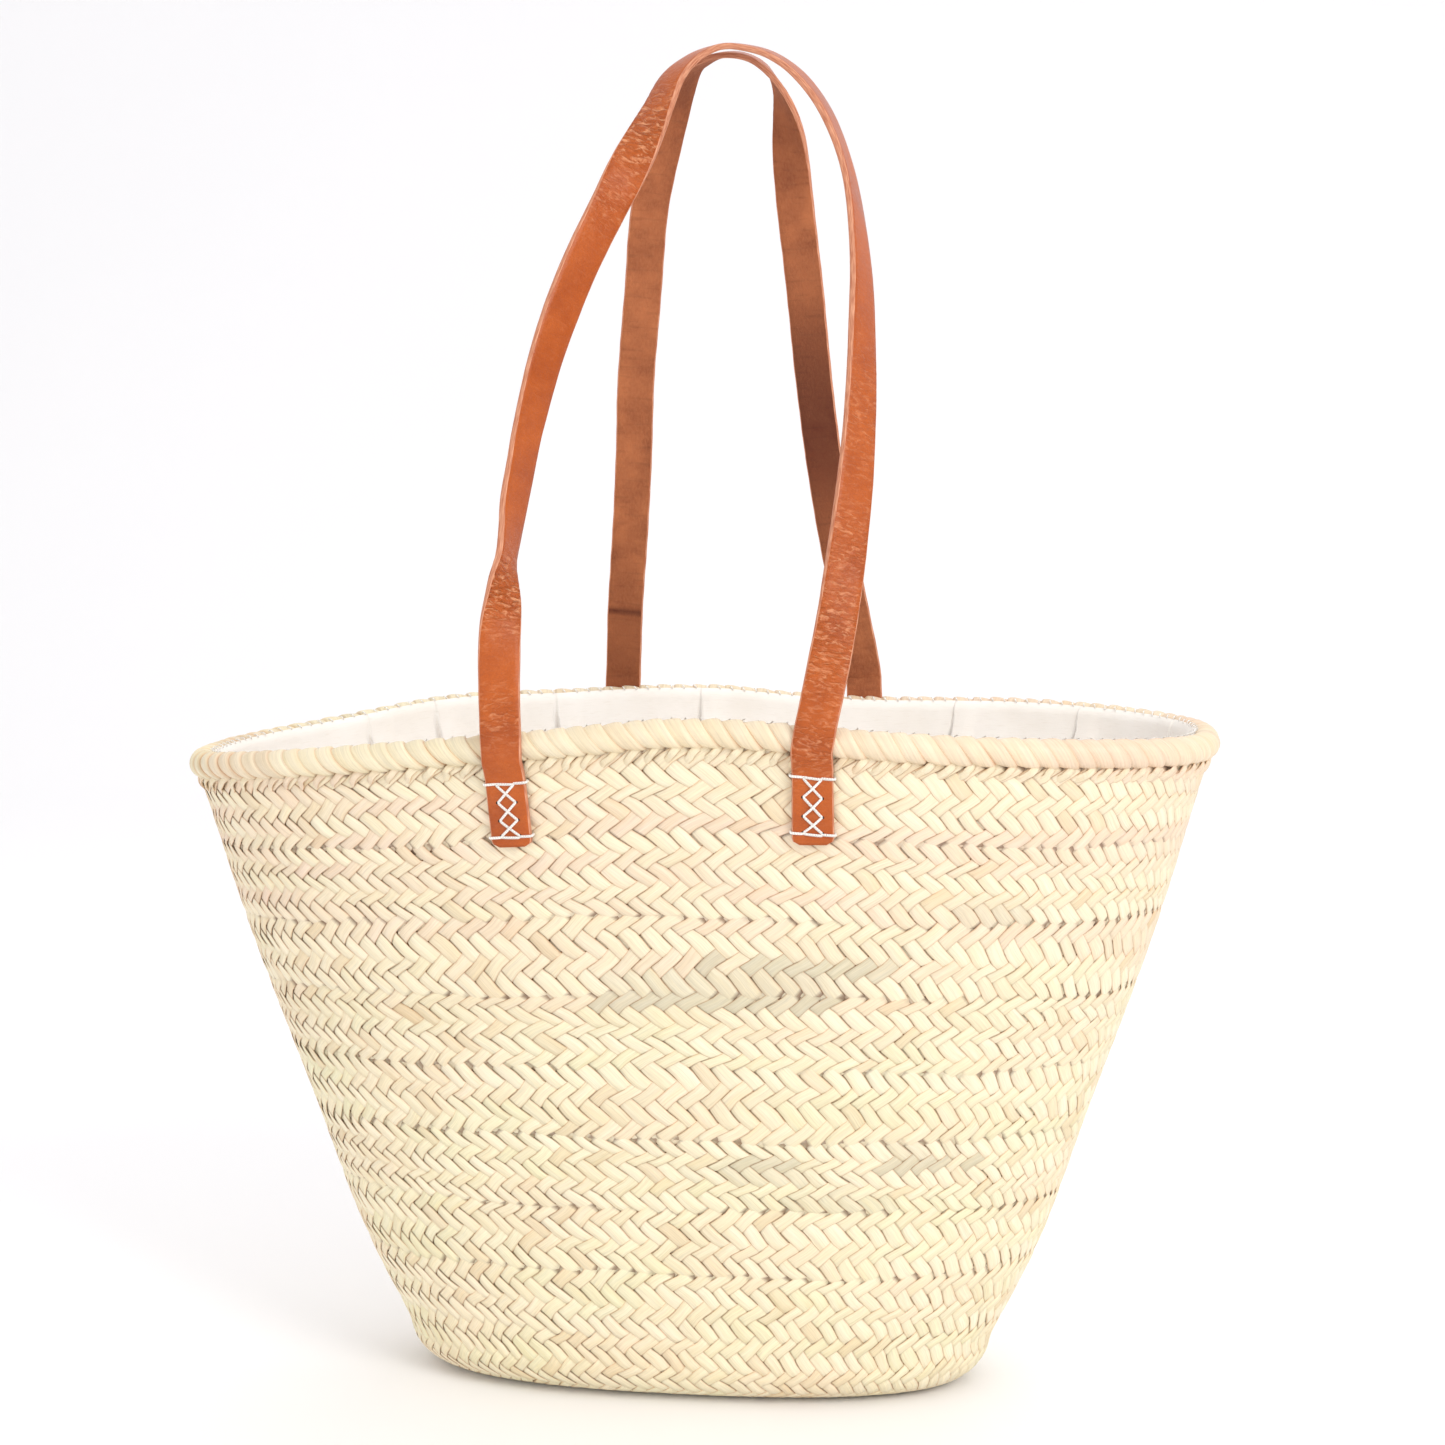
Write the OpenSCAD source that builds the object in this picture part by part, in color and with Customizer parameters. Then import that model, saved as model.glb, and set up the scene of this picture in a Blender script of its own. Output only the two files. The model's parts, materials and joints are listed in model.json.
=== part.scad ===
// Oval market basket of plaited palm leaf: a flat base, nine courses of plait for the wall, a wrapped rim,
// a cotton lining and two leather shoulder straps sewn to the outside.
// Millimetres, +Z up, the front faces -Y. The origin is on the ground under the middle of the basket.

/* [Basket] */
// Width across the outside of the rim, left to right
rim_w = 508; // [460:4:560]
// Depth across the outside of the rim, front to back
rim_d = 248; // [224:4:272]
// Height of the top of the rim at the middle of the front
rim_h = 337; // [310:1:370]
// Drop of the rim at its left end
sag_left = 25; // [0:1:30]
// Drop of the rim at its right end
sag_right = 10; // [0:1:30]
// Width where the foot's curve meets the wall
foot_w = 290; // [260:2:320]
// Depth where the foot's curve meets the wall
foot_d = 134; // [120:2:150]
// Radius of the curve that turns the base up into the wall
foot_r = 24; // [18:1:30]
// Thickness of the plait
wall_t = 4; // [3:0.5:5]
// How far the side walls bow out between foot and rim, as a share of their flare
bow_w = 0.27; // [0:0.01:0.4]
// How far the front and back walls bow out between foot and rim, as a share of their flare
bow_d = 0.35; // [0:0.01:0.5]

/* [Rim] */
// Radius of the finished rim bundle
rim_r = 6.5; // [5.5:0.25:8]
// Thickness of the leaf wound round the rim core
wrap_t = 1.2; // [0.8:0.1:2]
// Radius of the lashing under the rim
lash_r = 1.1; // [0.8:0.1:1.4]

/* [Lining] */
// Thickness of the cotton lining with its seam allowance
lining_t = 1; // [0.6:0.1:1.4]
// Gap between the lining and the plait
lining_gap = 0.5; // [0.3:0.1:1]

/* [Straps] */
// Width of the leather straps
strap_w = 19; // [16:0.5:24]
// Thickness of the leather straps
strap_t = 3; // [2.4:0.1:3.4]
// Length of each sewn end below the middle of the rim bundle
sewn_len = 46.5; // [42:0.5:56]
// Radius of the sewing thread
thread_r = 0.45; // [0.3:0.05:0.6]

/* [Hidden] */
COURSES = 9;
LEGS = ["front_left", "front_right", "back_left", "back_right"];

// The plan is an oval between an ellipse (2) and a rounded rectangle: its exponent at the foot and at the rim
foot_n = 2.4;
rim_n = 2.5;
// The rim's drop grows with the distance from the middle to this power
sag_n = 1.27;
// Sides of each ring round the basket
SIDES = 56;

// The rim bundle stands on the wall's top edge
wall_h = rim_h - 2 * rim_r;
rim_z = wall_h + rim_r;
rim_inset = wall_t / 2;
top_w = rim_w - 2 * rim_r + wall_t;
top_d = rim_d - 2 * rim_r + wall_t;

// The first course turns up through the foot's curve and ends this far above it; the others share the rest,
// each a little wider than the one below it
first_rise = 12;
course_growth = 0.08;
// Bevel on the inner edges of each course, which holds the joining fibre
bevel = 1.6;
// Clearance between pieces that lie against each other
clear = 0.3;

// A strap folds on a line outside the rim, at the height of the rim bundle's middle near the straps
hinge_y = rim_d / 2 + 2.2;
hinge_z = rim_z - 2.5;
knuckle_r = strap_t / 2 + 0.15;
// Distance of each loop's top from the middle plane, so that the two loops rest edge to edge
top_y = strap_w / 2 + 0.5;
// Greatest outward bow of a loop between its fold line and its top
loop_bow = 7;

// Left and right legs of each strap, along X
function leg_x(leg) =
    leg == "front_left" ? -72 : leg == "front_right" ? 68 : leg == "back_left" ? -59 : 73;
function leg_side(leg) = leg[0] == "f" ? -1 : 1;

// Route of a strap's middle in the plane of its loop, seen from the front: along X, up the plane from the
// fold line, and the turn of its grain face from facing out of the plane (0) to facing out of the arch (90)
front_route = [
    [-72, 0, 0], [-74, 24, -6], [-75, 45, -16], [-75, 56, -28], [-74.5, 66, -44], [-74.5, 76, -62],
    [-74, 86, -79], [-73, 98, -76], [-72, 112, -68], [-70, 128, -66], [-67, 151, -61], [-60, 188, -52],
    [-49, 226, -46], [-35, 262, -38], [-24, 289, 2], [-16, 310, 30], [-10, 326, 42], [-2, 335.5, 52],
    [6, 340.5, 58], [16, 343, 62], [30, 340.5, 62], [41, 335, 64], [52, 325, 67], [63.5, 308, 72],
    [73, 285, 77], [79, 261, 76], [83.5, 227, 68], [85, 194, 60], [85.5, 162, 51], [84.5, 129, 43],
    [82, 97, 34], [78, 60, 20], [73, 28, 8], [68, 0, 0]
];
back_route = [
    [-59, 0, 0], [-57, 26, 0], [-55, 51, 2], [-50, 95, 4], [-46, 135, 6], [-42.5, 176, 6],
    [-36, 223, 8], [-30, 265, 14], [-20, 300, 34], [-7, 331, 66], [2, 339, 76], [13, 342, 80],
    [24, 340, 80], [33, 333, 80], [38.5, 322, 66], [41, 307, 40], [42, 288, 16], [43.5, 262, 6],
    [46.5, 223, 4], [49.5, 176, 4], [54, 128, 3], [60, 84, 2], [66, 49, 1], [71, 20, 0], [73, 0, 0]
];
// Rings of the swept strap between two points of its route
ROUTE_STEPS = 2;

palm = [0.93, 0.87, 0.70];
leaf = [0.90, 0.82, 0.64];
fibre = [0.72, 0.60, 0.40];
cotton = [0.95, 0.93, 0.89];
leather = [0.72, 0.38, 0.17];
thread = [0.96, 0.94, 0.90];

// ---- The oval shell ----

function signed_pow(v, e) = sign(v) * pow(abs(v), e);
function rise(z) = (min(max(z, foot_r), wall_h) - foot_r) / (wall_h - foot_r);
function flare(low, high, bow, s) = low + (high - low) * (s + bow * s * (1 - s));
function half_w(z) = flare(foot_w, top_w, bow_w, rise(z)) / 2;
function half_d(z) = flare(foot_d, top_d, bow_d, rise(z)) / 2;
function plan_n(z) = foot_n + (rim_n - foot_n) * rise(z);
function drop(z, share) =
    pow(min(z / wall_h, 1), 2) * (share < 0 ? sag_left : sag_right) * pow(min(abs(share), 1), sag_n);

// A point of the shell at an angle round it: inset is counted inward from the plait's outer face
function shell_point(inset, z, angle) =
    let(
        a = half_w(z) - inset,
        b = half_d(z) - inset,
        x = a * signed_pow(cos(angle), 2 / plan_n(z)),
        y = b * signed_pow(sin(angle), 2 / plan_n(z))
    )
    [x, y, z - drop(z, x / a)];

// A point of the shell's front (side -1) or back (side 1) at a given x
function face_point(x, inset, z, side) =
    let(
        a = half_w(z) - inset,
        b = half_d(z) - inset,
        n = plan_n(z)
    )
    [x, side * b * pow(1 - pow(abs(x / a), n), 1 / n), z - drop(z, x / a)];

// Points [inset, z] of the foot's curve, for a surface this deep below the plait's outer face
function foot_curve(depth, from, to, steps) = [
    for (i = [0:steps])
        let(turn = from + (to - from) * i / steps, r = foot_r - depth)
        [foot_r - r * sin(turn), foot_r - r * cos(turn)]
];

function reversed(list) = [for (i = [len(list) - 1:-1:0]) list[i]];

// Triangles between ring i and ring j of a swept section; the split of each face follows the inset, so two
// pieces that share a face are split alike
function ring_faces(i, j, section) =
    let(m = len(section))
    [
        for (k = [0:m - 1])
            let(n = (k + 1) % m, a = i * m + k, b = i * m + n, c = j * m + n, d = j * m + k)
            each (section[k][0] <= section[n][0] ? [[a, c, b], [a, d, c]] : [[a, d, b], [b, d, c]])
    ];

// A closed ring round the basket with the section [[inset, z], ...]
module shell_ring(section) {
    polyhedron(
        points = [for (i = [0:SIDES - 1]) for (p = section) shell_point(p[0], p[1], i * 360 / SIDES)],
        faces = [for (i = [0:SIDES - 1]) each ring_faces(i, (i + 1) % SIDES, section)],
        convexity = 10
    );
}

function round_section(inset, z, r, sides) = [
    for (i = [0:sides - 1]) [inset - r * cos(i * 360 / sides), z - r * sin(i * 360 / sides)]
];

module oval_plate(low, thick) {
    translate([0, 0, low])
        linear_extrude(thick)
            polygon([for (i = [0:SIDES - 1])
                let(p = shell_point(foot_r, 0, i * 360 / SIDES)) [p.x, p.y]]);
}

// ---- Plaited base and wall ----

module base_panel() {
    color(palm) oval_plate(0, wall_t);
}

// Height of the upper edge of a course
function course_top(k) =
    let(share = (k - 1) / (COURSES - 1))
    foot_r + first_rise
        + (wall_h - foot_r - first_rise) * (share - course_growth * share * (1 - share));

// The first course turns up from the base; its lower edge butts against the base panel
module first_course() {
    top = course_top(1);
    color(palm)
        shell_ring(concat(
            foot_curve(0, 0, 90, 6),
            [[0, top], [wall_t - bevel, top], [wall_t, top - bevel]],
            reversed(foot_curve(wall_t, 0, 90, 6))
        ));
}

module upper_course(k) {
    low = course_top(k - 1);
    top = course_top(k);
    mid = (low + top) / 2;
    color(palm)
        shell_ring([
            [0, low], [0, mid], [0, top], [wall_t - bevel, top],
            [wall_t, top - bevel], [wall_t, mid], [wall_t, low + bevel], [wall_t - bevel, low]
        ]);
}

// One lacing of twine lies in the groove between each two courses
module joining_fibre() {
    color(fibre)
        for (k = [1:COURSES - 1])
            shell_ring([
                [wall_t - bevel + 0.2, course_top(k)], [wall_t - bevel / 2, course_top(k) + bevel / 2 - 0.2],
                [wall_t, course_top(k)], [wall_t - bevel / 2, course_top(k) - bevel / 2 + 0.2]
            ]);
}

// ---- Rim ----

module rim_core() {
    color(fibre) shell_ring(round_section(rim_inset, rim_z, rim_r - wrap_t - 0.1, 12));
}

module rim_wrapping() {
    color(leaf)
        difference() {
            shell_ring(round_section(rim_inset, rim_z, rim_r, 12));
            shell_ring(round_section(rim_inset, rim_z, rim_r - wrap_t, 12));
        }
}

module rim_lashing() {
    color(fibre) shell_ring(round_section(-lash_r - 0.2, wall_h - 1, lash_r, 6));
}

// ---- Lining ----

// The lining follows the plait's inner face and is sewn up over the inner side of the rim
function lining_face(depth) =
    let(over = rim_r + clear + depth - lining_gap)
    concat(
        foot_curve(wall_t + depth, 0, 90, 5),
        [for (z = [70, 120, 180, 240, 290]) [wall_t + depth, z]],
        [[wall_t + depth, wall_h - 2]],
        [for (turn = [-45, -15, 15, 42])
            [rim_inset + over * cos(turn), rim_z + over * sin(turn)]]
    );

module lining_wall() {
    color(cotton)
        shell_ring(concat(lining_face(lining_gap), reversed(lining_face(lining_gap + lining_t))));
}

module lining_base() {
    color(cotton) oval_plate(wall_t + lining_gap, lining_t);
}

// ---- Straps ----

function mix(a, b, t) = a + (b - a) * t;

// Smooth curve through four neighbouring route points
function spline(a, b, c, d, t) =
    0.5 * (2 * b + (c - a) * t + (2 * a - 5 * b + 4 * c - d) * t * t + (3 * b - a - 3 * c + d) * t * t * t);

function smooth_route(route) =
    let(last = len(route) - 1)
    concat(
        [
            for (i = [0:last - 1]) for (s = [0:ROUTE_STEPS - 1])
                spline(
                    route[max(i - 1, 0)], route[i], route[i + 1], route[min(i + 2, last)], s / ROUTE_STEPS
                )
        ],
        [route[last]]
    );

// A leg's place in the loop's own frame: x, outward bow, height up the plane from the fold line
function loop_point(r, top) = [r[0], -loop_bow * sin(180 * min(r[1] / top, 1)), r[1]];

function unit(v) = v / norm(v);

// Ring of four corners round the strap; the last two are on its grain face
function strap_ring(points, turns, i) =
    let(
        last = len(points) - 1,
        along = unit(points[min(i + 1, last)] - points[max(i - 1, 0)]),
        arch_out = unit(cross([0, -1, 0], along)),
        plane_out = unit(cross(along, arch_out)),
        grain = plane_out * cos(turns[i]) + arch_out * sin(turns[i]),
        across = cross(along, grain),
        w = across * strap_w / 2,
        t = grain * strap_t / 2
    )
    [points[i] - w - t, points[i] + w - t, points[i] + w + t, points[i] - w + t];

// A loop in its own frame, standing on its fold line, with a knuckle at the foot of each leg
module loop_solid(route) {
    smooth = smooth_route(route);
    top = max([for (r = route) r[1]]);
    points = [for (r = smooth) loop_point(r, top)];
    turns = [for (r = smooth) r[2]];
    last = len(smooth) - 1;
    polyhedron(
        points = [for (i = [0:last]) each strap_ring(points, turns, i)],
        faces = concat(
            [for (i = [0:last - 1]) for (k = [0:3])
                let(n = (k + 1) % 4)
                each [[i * 4 + k, i * 4 + n, i * 4 + 4 + n], [i * 4 + k, i * 4 + 4 + n, i * 4 + 4 + k]]],
            [[3, 2, 1, 0], [last * 4, last * 4 + 1, last * 4 + 2, last * 4 + 3]]
        ),
        convexity = 10
    );
    for (r = [route[0], route[len(route) - 1]])
        translate([r[0], 0, 0])
            rotate([0, 90, 0])
                cylinder(r = knuckle_r, h = strap_w, center = true, $fn = 48);
}

// Stands the loop on its fold line and leans it in until its top meets the middle plane
module placed_loop(route, side) {
    top = max([for (r = route) r[1]]);
    lean = asin((hinge_y - top_y) / top);
    translate([0, side * hinge_y, hinge_z])
        rotate([side * lean, 0, 0])
            mirror([0, side > 0 ? 1 : 0, 0])
                loop_solid(route);
}

module front_strap_loop() {
    color(leather) placed_loop(front_route, -1);
}

module back_strap_loop() {
    color(leather) placed_loop(back_route, 1);
}

// Levels of a sewn end from its rounded tip up to the fold line: height from the middle of the rim bundle,
// inset of its inner face, thickness, and how far each edge is drawn in
rest_out = rim_inset - rim_r - clear;
sewn_levels = [
    [-sewn_len, -clear, strap_t, 3],
    [-sewn_len + 0.9, -clear, strap_t, 1],
    [-sewn_len + 3, -clear, strap_t, 0],
    [-30, -clear, strap_t, 0],
    [-14.5, -clear, strap_t, 0],
    [-6, mix(-clear, rest_out, 0.72), strap_t, 0],
    [-2.5, rest_out, strap_t * 0.6, 0],
    [-0.4, rest_out, strap_t * 0.3, 0]
];

module sewn_end(leg) {
    x = leg_x(leg);
    side = leg_side(leg);
    levels = len(sewn_levels);
    color(leather)
        polyhedron(
            points = [
                for (l = sewn_levels)
                    let(h = strap_w / 2 - l[3], z = rim_z + l[0])
                    each [
                        face_point(x - h, l[1], z, side), face_point(x + h, l[1], z, side),
                        face_point(x + h, l[1] - l[2], z, side), face_point(x - h, l[1] - l[2], z, side)
                    ]
            ],
            faces = [
                for (f = concat(
                    [for (i = [0:levels - 2]) for (k = [0:3])
                        let(n = (k + 1) % 4)
                        each [
                            [i * 4 + k, i * 4 + n, i * 4 + 4 + n],
                            [i * 4 + k, i * 4 + 4 + n, i * 4 + 4 + k]
                        ]],
                    [[3, 2, 1], [3, 1, 0]],
                    [for (f = [[0, 1, 2], [0, 2, 3]]) [for (v = f) (levels - 1) * 4 + v]]
                )) side < 0 ? reversed(f) : f
            ],
            convexity = 4
        );
}

// Heights of the rows where the thread crosses go through the leather, from the middle of the rim bundle
stitch_rows = [-16.5, -25, -33.5, -41];
stitch_half_w = 4.2;

// A straight length of thread between two points
module thread_rod(a, b) {
    v = b - a;
    translate(a)
        rotate([0, acos(v.z / norm(v)), atan2(v.y, v.x)])
            cylinder(r = thread_r, h = norm(v), $fn = 24);
}

// Three crosses, one above another, with a bar over each end; the second arm of a cross lies over the first
module stitches(leg) {
    x = leg_x(leg);
    side = leg_side(leg);
    face = -clear - strap_t - thread_r - 0.05;
    lift = 2 * thread_r + 0.05;
    inner = stitch_half_w - 0.3;
    edge = strap_w / 2 - 0.4;
    color(thread) {
        for (i = [0:len(stitch_rows) - 2]) {
            high = rim_z + stitch_rows[i] - 0.6;
            low = rim_z + stitch_rows[i + 1] + 0.6;
            thread_rod(face_point(x - inner, face, high, side), face_point(x + inner, face, low, side));
            thread_rod(
                face_point(x + inner, face - lift, high, side), face_point(x - inner, face - lift, low, side)
            );
        }
        for (row = [stitch_rows[0] + 0.9, stitch_rows[len(stitch_rows) - 1] - 0.9])
            for (span = [[-edge, -stitch_half_w - 0.6], [-stitch_half_w, stitch_half_w],
                         [stitch_half_w + 0.6, edge]])
                thread_rod(
                    face_point(x + span[0], face, rim_z + row, side),
                    face_point(x + span[1], face, rim_z + row, side)
                );
    }
}

base_panel();
first_course();  // wall_course_1
for (k = [2:COURSES])
    upper_course(k);
joining_fibre();
rim_core();
rim_wrapping();
rim_lashing();
lining_wall();
lining_base();
front_strap_loop();
back_strap_loop();
for (leg = LEGS) {
    sewn_end(leg);
    stitches(leg);
}
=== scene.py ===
"""Looks of an oval market basket of plaited palm leaf, with a cotton lining and two leather straps.

Every length is in metres. The shell's formulas are those of the part, so each piece lies where its node lies.
Angles round the basket are counted from the right end, through the back, as the part counts them.
"""
import json
import math

import bpy
import numpy as np
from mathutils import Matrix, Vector


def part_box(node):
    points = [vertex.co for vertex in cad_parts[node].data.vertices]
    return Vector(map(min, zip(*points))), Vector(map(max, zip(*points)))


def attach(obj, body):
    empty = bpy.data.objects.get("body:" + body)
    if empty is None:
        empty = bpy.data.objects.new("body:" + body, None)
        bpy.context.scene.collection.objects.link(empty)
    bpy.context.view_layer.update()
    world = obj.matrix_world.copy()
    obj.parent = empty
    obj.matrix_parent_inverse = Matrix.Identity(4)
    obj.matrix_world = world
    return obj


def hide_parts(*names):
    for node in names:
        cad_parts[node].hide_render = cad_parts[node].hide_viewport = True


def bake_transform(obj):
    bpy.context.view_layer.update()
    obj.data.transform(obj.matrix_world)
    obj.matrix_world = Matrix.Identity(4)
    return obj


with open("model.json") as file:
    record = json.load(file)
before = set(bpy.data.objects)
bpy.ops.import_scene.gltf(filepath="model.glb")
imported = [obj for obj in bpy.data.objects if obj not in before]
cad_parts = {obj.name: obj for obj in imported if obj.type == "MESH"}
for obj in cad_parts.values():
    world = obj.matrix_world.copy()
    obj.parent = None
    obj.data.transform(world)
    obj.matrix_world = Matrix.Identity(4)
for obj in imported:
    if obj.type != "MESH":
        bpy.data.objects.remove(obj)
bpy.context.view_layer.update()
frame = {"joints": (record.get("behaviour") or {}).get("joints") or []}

MM = 0.001
TAU = 2 * math.pi

# ---- Sizes: what the frame gives is read from it, the rest repeats the part's driving dimensions ----

rim_low, rim_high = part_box("rim_wrapping")
base_low, base_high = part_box("base_panel")
COURSES = 9
WALL_T = 4 * MM
WALL_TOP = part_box(f"wall_course_{COURSES}")[1].z
RIM_R = (rim_high.z - WALL_TOP) / 2
RIM_Z = WALL_TOP + RIM_R
RIM_INSET = WALL_T / 2
TOP_W = rim_high.x - rim_low.x - 2 * RIM_R + WALL_T
TOP_D = rim_high.y - rim_low.y - 2 * RIM_R + WALL_T
FOOT_R = 24 * MM
FOOT_W = base_high.x - base_low.x + 2 * FOOT_R
FOOT_D = base_high.y - base_low.y + 2 * FOOT_R
BOW_W, BOW_D = 0.27, 0.35
FOOT_N, RIM_N = 2.4, 2.5
SAG_LEFT, SAG_RIGHT, SAG_N = 25 * MM, 10 * MM, 1.27
FIRST_RISE = 12 * MM
COURSE_GROWTH = 0.08
FOOT_ARC = FOOT_R * math.pi / 2

STRAP_W, STRAP_T = 19 * MM, 3 * MM
LOOP_BOW = 7 * MM
STITCH_ROWS = [-16.5 * MM, -25 * MM, -33.5 * MM, -41 * MM]
STITCH_HALF_W = 4.2 * MM
THREAD_R = 0.45 * MM
LEGS = ["front_left", "front_right", "back_left", "back_right"]
JOINTS = {joint["child"]: joint for joint in frame["joints"]}


# ---- The oval shell ----

def signed_pow(v, e):
    return np.sign(v) * np.abs(v) ** e


def smooth(t):
    t = np.clip(t, 0, 1)
    return t * t * (3 - 2 * t)


def bell(v, middle, width):
    return np.exp(-(((v - middle) / width) ** 2))


def rise(z):
    return (np.clip(z, FOOT_R, WALL_TOP) - FOOT_R) / (WALL_TOP - FOOT_R)


def flare(low, high, bow, s):
    return low + (high - low) * (s + bow * s * (1 - s))


def half_w(z):
    return flare(FOOT_W, TOP_W, BOW_W, rise(z)) / 2


def half_d(z):
    return flare(FOOT_D, TOP_D, BOW_D, rise(z)) / 2


def plan_n(z):
    return FOOT_N + (RIM_N - FOOT_N) * rise(z)


def drop(z, share):
    sag = np.where(share < 0, SAG_LEFT, SAG_RIGHT)
    return np.minimum(z / WALL_TOP, 1) ** 2 * sag * np.minimum(np.abs(share), 1) ** SAG_N


def handmade(x, y, z):
    """The rim isn't quite even: its front stands a little high near the middle, its back dips on the right."""
    front = 3.5 * MM * bell(x, 30 * MM, 60 * MM)
    back = 4 * MM * bell(x, -150 * MM, 45 * MM) - 6.5 * MM * bell(x, 60 * MM, 80 * MM)
    return np.clip(z / WALL_TOP, 0, 1) ** 4 * (front * smooth(-y / (60 * MM)) + back * smooth(y / (60 * MM)))


def belly(z):
    """The ends stand out a little above the foot."""
    return 4.5 * MM * bell(z, 70 * MM, 55 * MM) - 1.5 * MM * bell(z, WALL_TOP - 20 * MM, 50 * MM)


def shell(inset, z, angle):
    """Points of the shell at an angle round it. The inset counts inward from the plait's outer face."""
    a = half_w(z) - inset
    b = half_d(z) - inset
    n = plan_n(z)
    x = a * signed_pow(np.cos(angle), 2 / n)
    y = b * signed_pow(np.sin(angle), 2 / n)
    return np.stack([x + belly(z) * x / a, y, z - drop(z, x / a) + handmade(x, y, z)], -1)


def face_point(x, inset, z, side):
    """The point of the shell's front (side -1) or back (side 1) at a given x."""
    a = half_w(z) - inset
    b = half_d(z) - inset
    n = plan_n(z)
    y = side * b * (1 - abs(x / a) ** n) ** (1 / n)
    return np.array([x, y, z - drop(z, x / a) + handmade(x, y, z)])


# Angles at even steps of length round the shell, for a set of heights, so that a turn of 0 to 1 runs evenly
LEVELS = np.linspace(0, WALL_TOP, 25)
TURN_STEPS = 720


def even_angles(z):
    angles = np.linspace(0, TAU, 4 * TURN_STEPS + 1)
    ring = shell(0, z, angles)
    run = np.concatenate([[0], np.cumsum(np.linalg.norm(np.diff(ring, axis=0), axis=1))])
    return np.interp(np.linspace(0, run[-1], TURN_STEPS + 1), run, angles)


EVEN = np.array([even_angles(z) for z in LEVELS])


def angle_at(turn, z):
    turn, z = np.broadcast_arrays(turn, z)
    whole = np.floor(turn)
    t = (turn - whole) * TURN_STEPS
    i = np.minimum(t.astype(int), TURN_STEPS - 1)
    v = np.clip(z / WALL_TOP, 0, 1) * (len(LEVELS) - 1)
    j = np.minimum(v.astype(int), len(LEVELS) - 2)
    ft, fv = t - i, v - j
    low = EVEN[j, i] * (1 - ft) + EVEN[j, i + 1] * ft
    high = EVEN[j + 1, i] * (1 - ft) + EVEN[j + 1, i + 1] * ft
    return low * (1 - fv) + high * fv + TAU * whole


def wall_point(turn, run):
    """A point of the plait's outer face. The run is the distance up the wall from the edge of the flat base."""
    turn, run = np.broadcast_arrays(turn, run)
    bend = np.clip(run / FOOT_R, 0, math.pi / 2)
    inset = FOOT_R * (1 - np.sin(bend)) + np.maximum(-run, 0)
    z = FOOT_R * (1 - np.cos(bend)) + np.maximum(run - FOOT_ARC, 0)
    return shell(inset, z, angle_at(turn, z))


def on_wall(turn, run, height):
    """A point that stands a height out of the plait's outer face."""
    point = wall_point(turn, run)
    round_it = wall_point(turn + 0.0015, run) - wall_point(turn - 0.0015, run)
    up_it = wall_point(turn, run + 0.6 * MM) - wall_point(turn, run - 0.6 * MM)
    normal = np.cross(round_it, up_it)
    normal /= np.linalg.norm(normal, axis=-1, keepdims=True)
    return point + normal * np.asarray(height)[..., None]


def course_top(k):
    share = (k - 1) / (COURSES - 1)
    even = share - COURSE_GROWTH * share * (1 - share)
    return FOOT_R + FIRST_RISE + (WALL_TOP - FOOT_R - FIRST_RISE) * even


def run_at(z):
    return FOOT_ARC + z - FOOT_R


# ---- Meshes ----

def grid_faces(rows, columns, close_rows=False, close_columns=False, start=0):
    """Quads of a grid whose points are numbered row by row."""
    i = np.arange(rows if close_rows else rows - 1)[:, None]
    j = np.arange(columns if close_columns else columns - 1)[None]
    near, far = (i % rows) * columns, ((i + 1) % rows) * columns
    left, right = j % columns, (j + 1) % columns
    return np.stack([near + left, near + right, far + right, far + left], -1).reshape(-1, 4) + start


def new_mesh(name, points, faces, materials, attributes=None, slots=None, smooth_faces=True):
    """A mesh object. An attribute is one number, a vector or a colour for each point."""
    mesh = bpy.data.meshes.new(name)
    mesh.from_pydata(np.asarray(points, float).reshape(-1, 3).tolist(), [], [list(map(int, f)) for f in faces])
    for material in materials:
        mesh.materials.append(material)
    if slots is not None:
        mesh.polygons.foreach_set("material_index", np.asarray(slots, np.int32))
    for key, values in (attributes or {}).items():
        values = np.asarray(values, np.float32)
        width = values.shape[-1] if values.ndim > 1 else 1
        kind, field = {1: ("FLOAT", "value"), 3: ("FLOAT_VECTOR", "vector"), 4: ("FLOAT_COLOR", "color")}[width]
        mesh.attributes.new(key, kind, "POINT").data.foreach_set(field, values.ravel())
    mesh.polygons.foreach_set("use_smooth", [smooth_faces] * len(mesh.polygons))
    mesh.validate()
    mesh.update()
    piece = bpy.data.objects.new(name, mesh)
    bpy.context.scene.collection.objects.link(piece)
    return piece


def finish_piece(piece, nodes, body="root"):
    """Rides the piece on its body and hides the CAD nodes it stands for."""
    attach(piece, body)
    if nodes:
        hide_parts(*nodes)
    return piece


def frames_along(points, closed=False):
    """Unit directions along a line of points."""
    if closed:
        along = np.roll(points, -1, 0) - np.roll(points, 1, 0)
    else:
        along = np.gradient(points, axis=0)
    return along / np.linalg.norm(along, axis=-1, keepdims=True)


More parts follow.
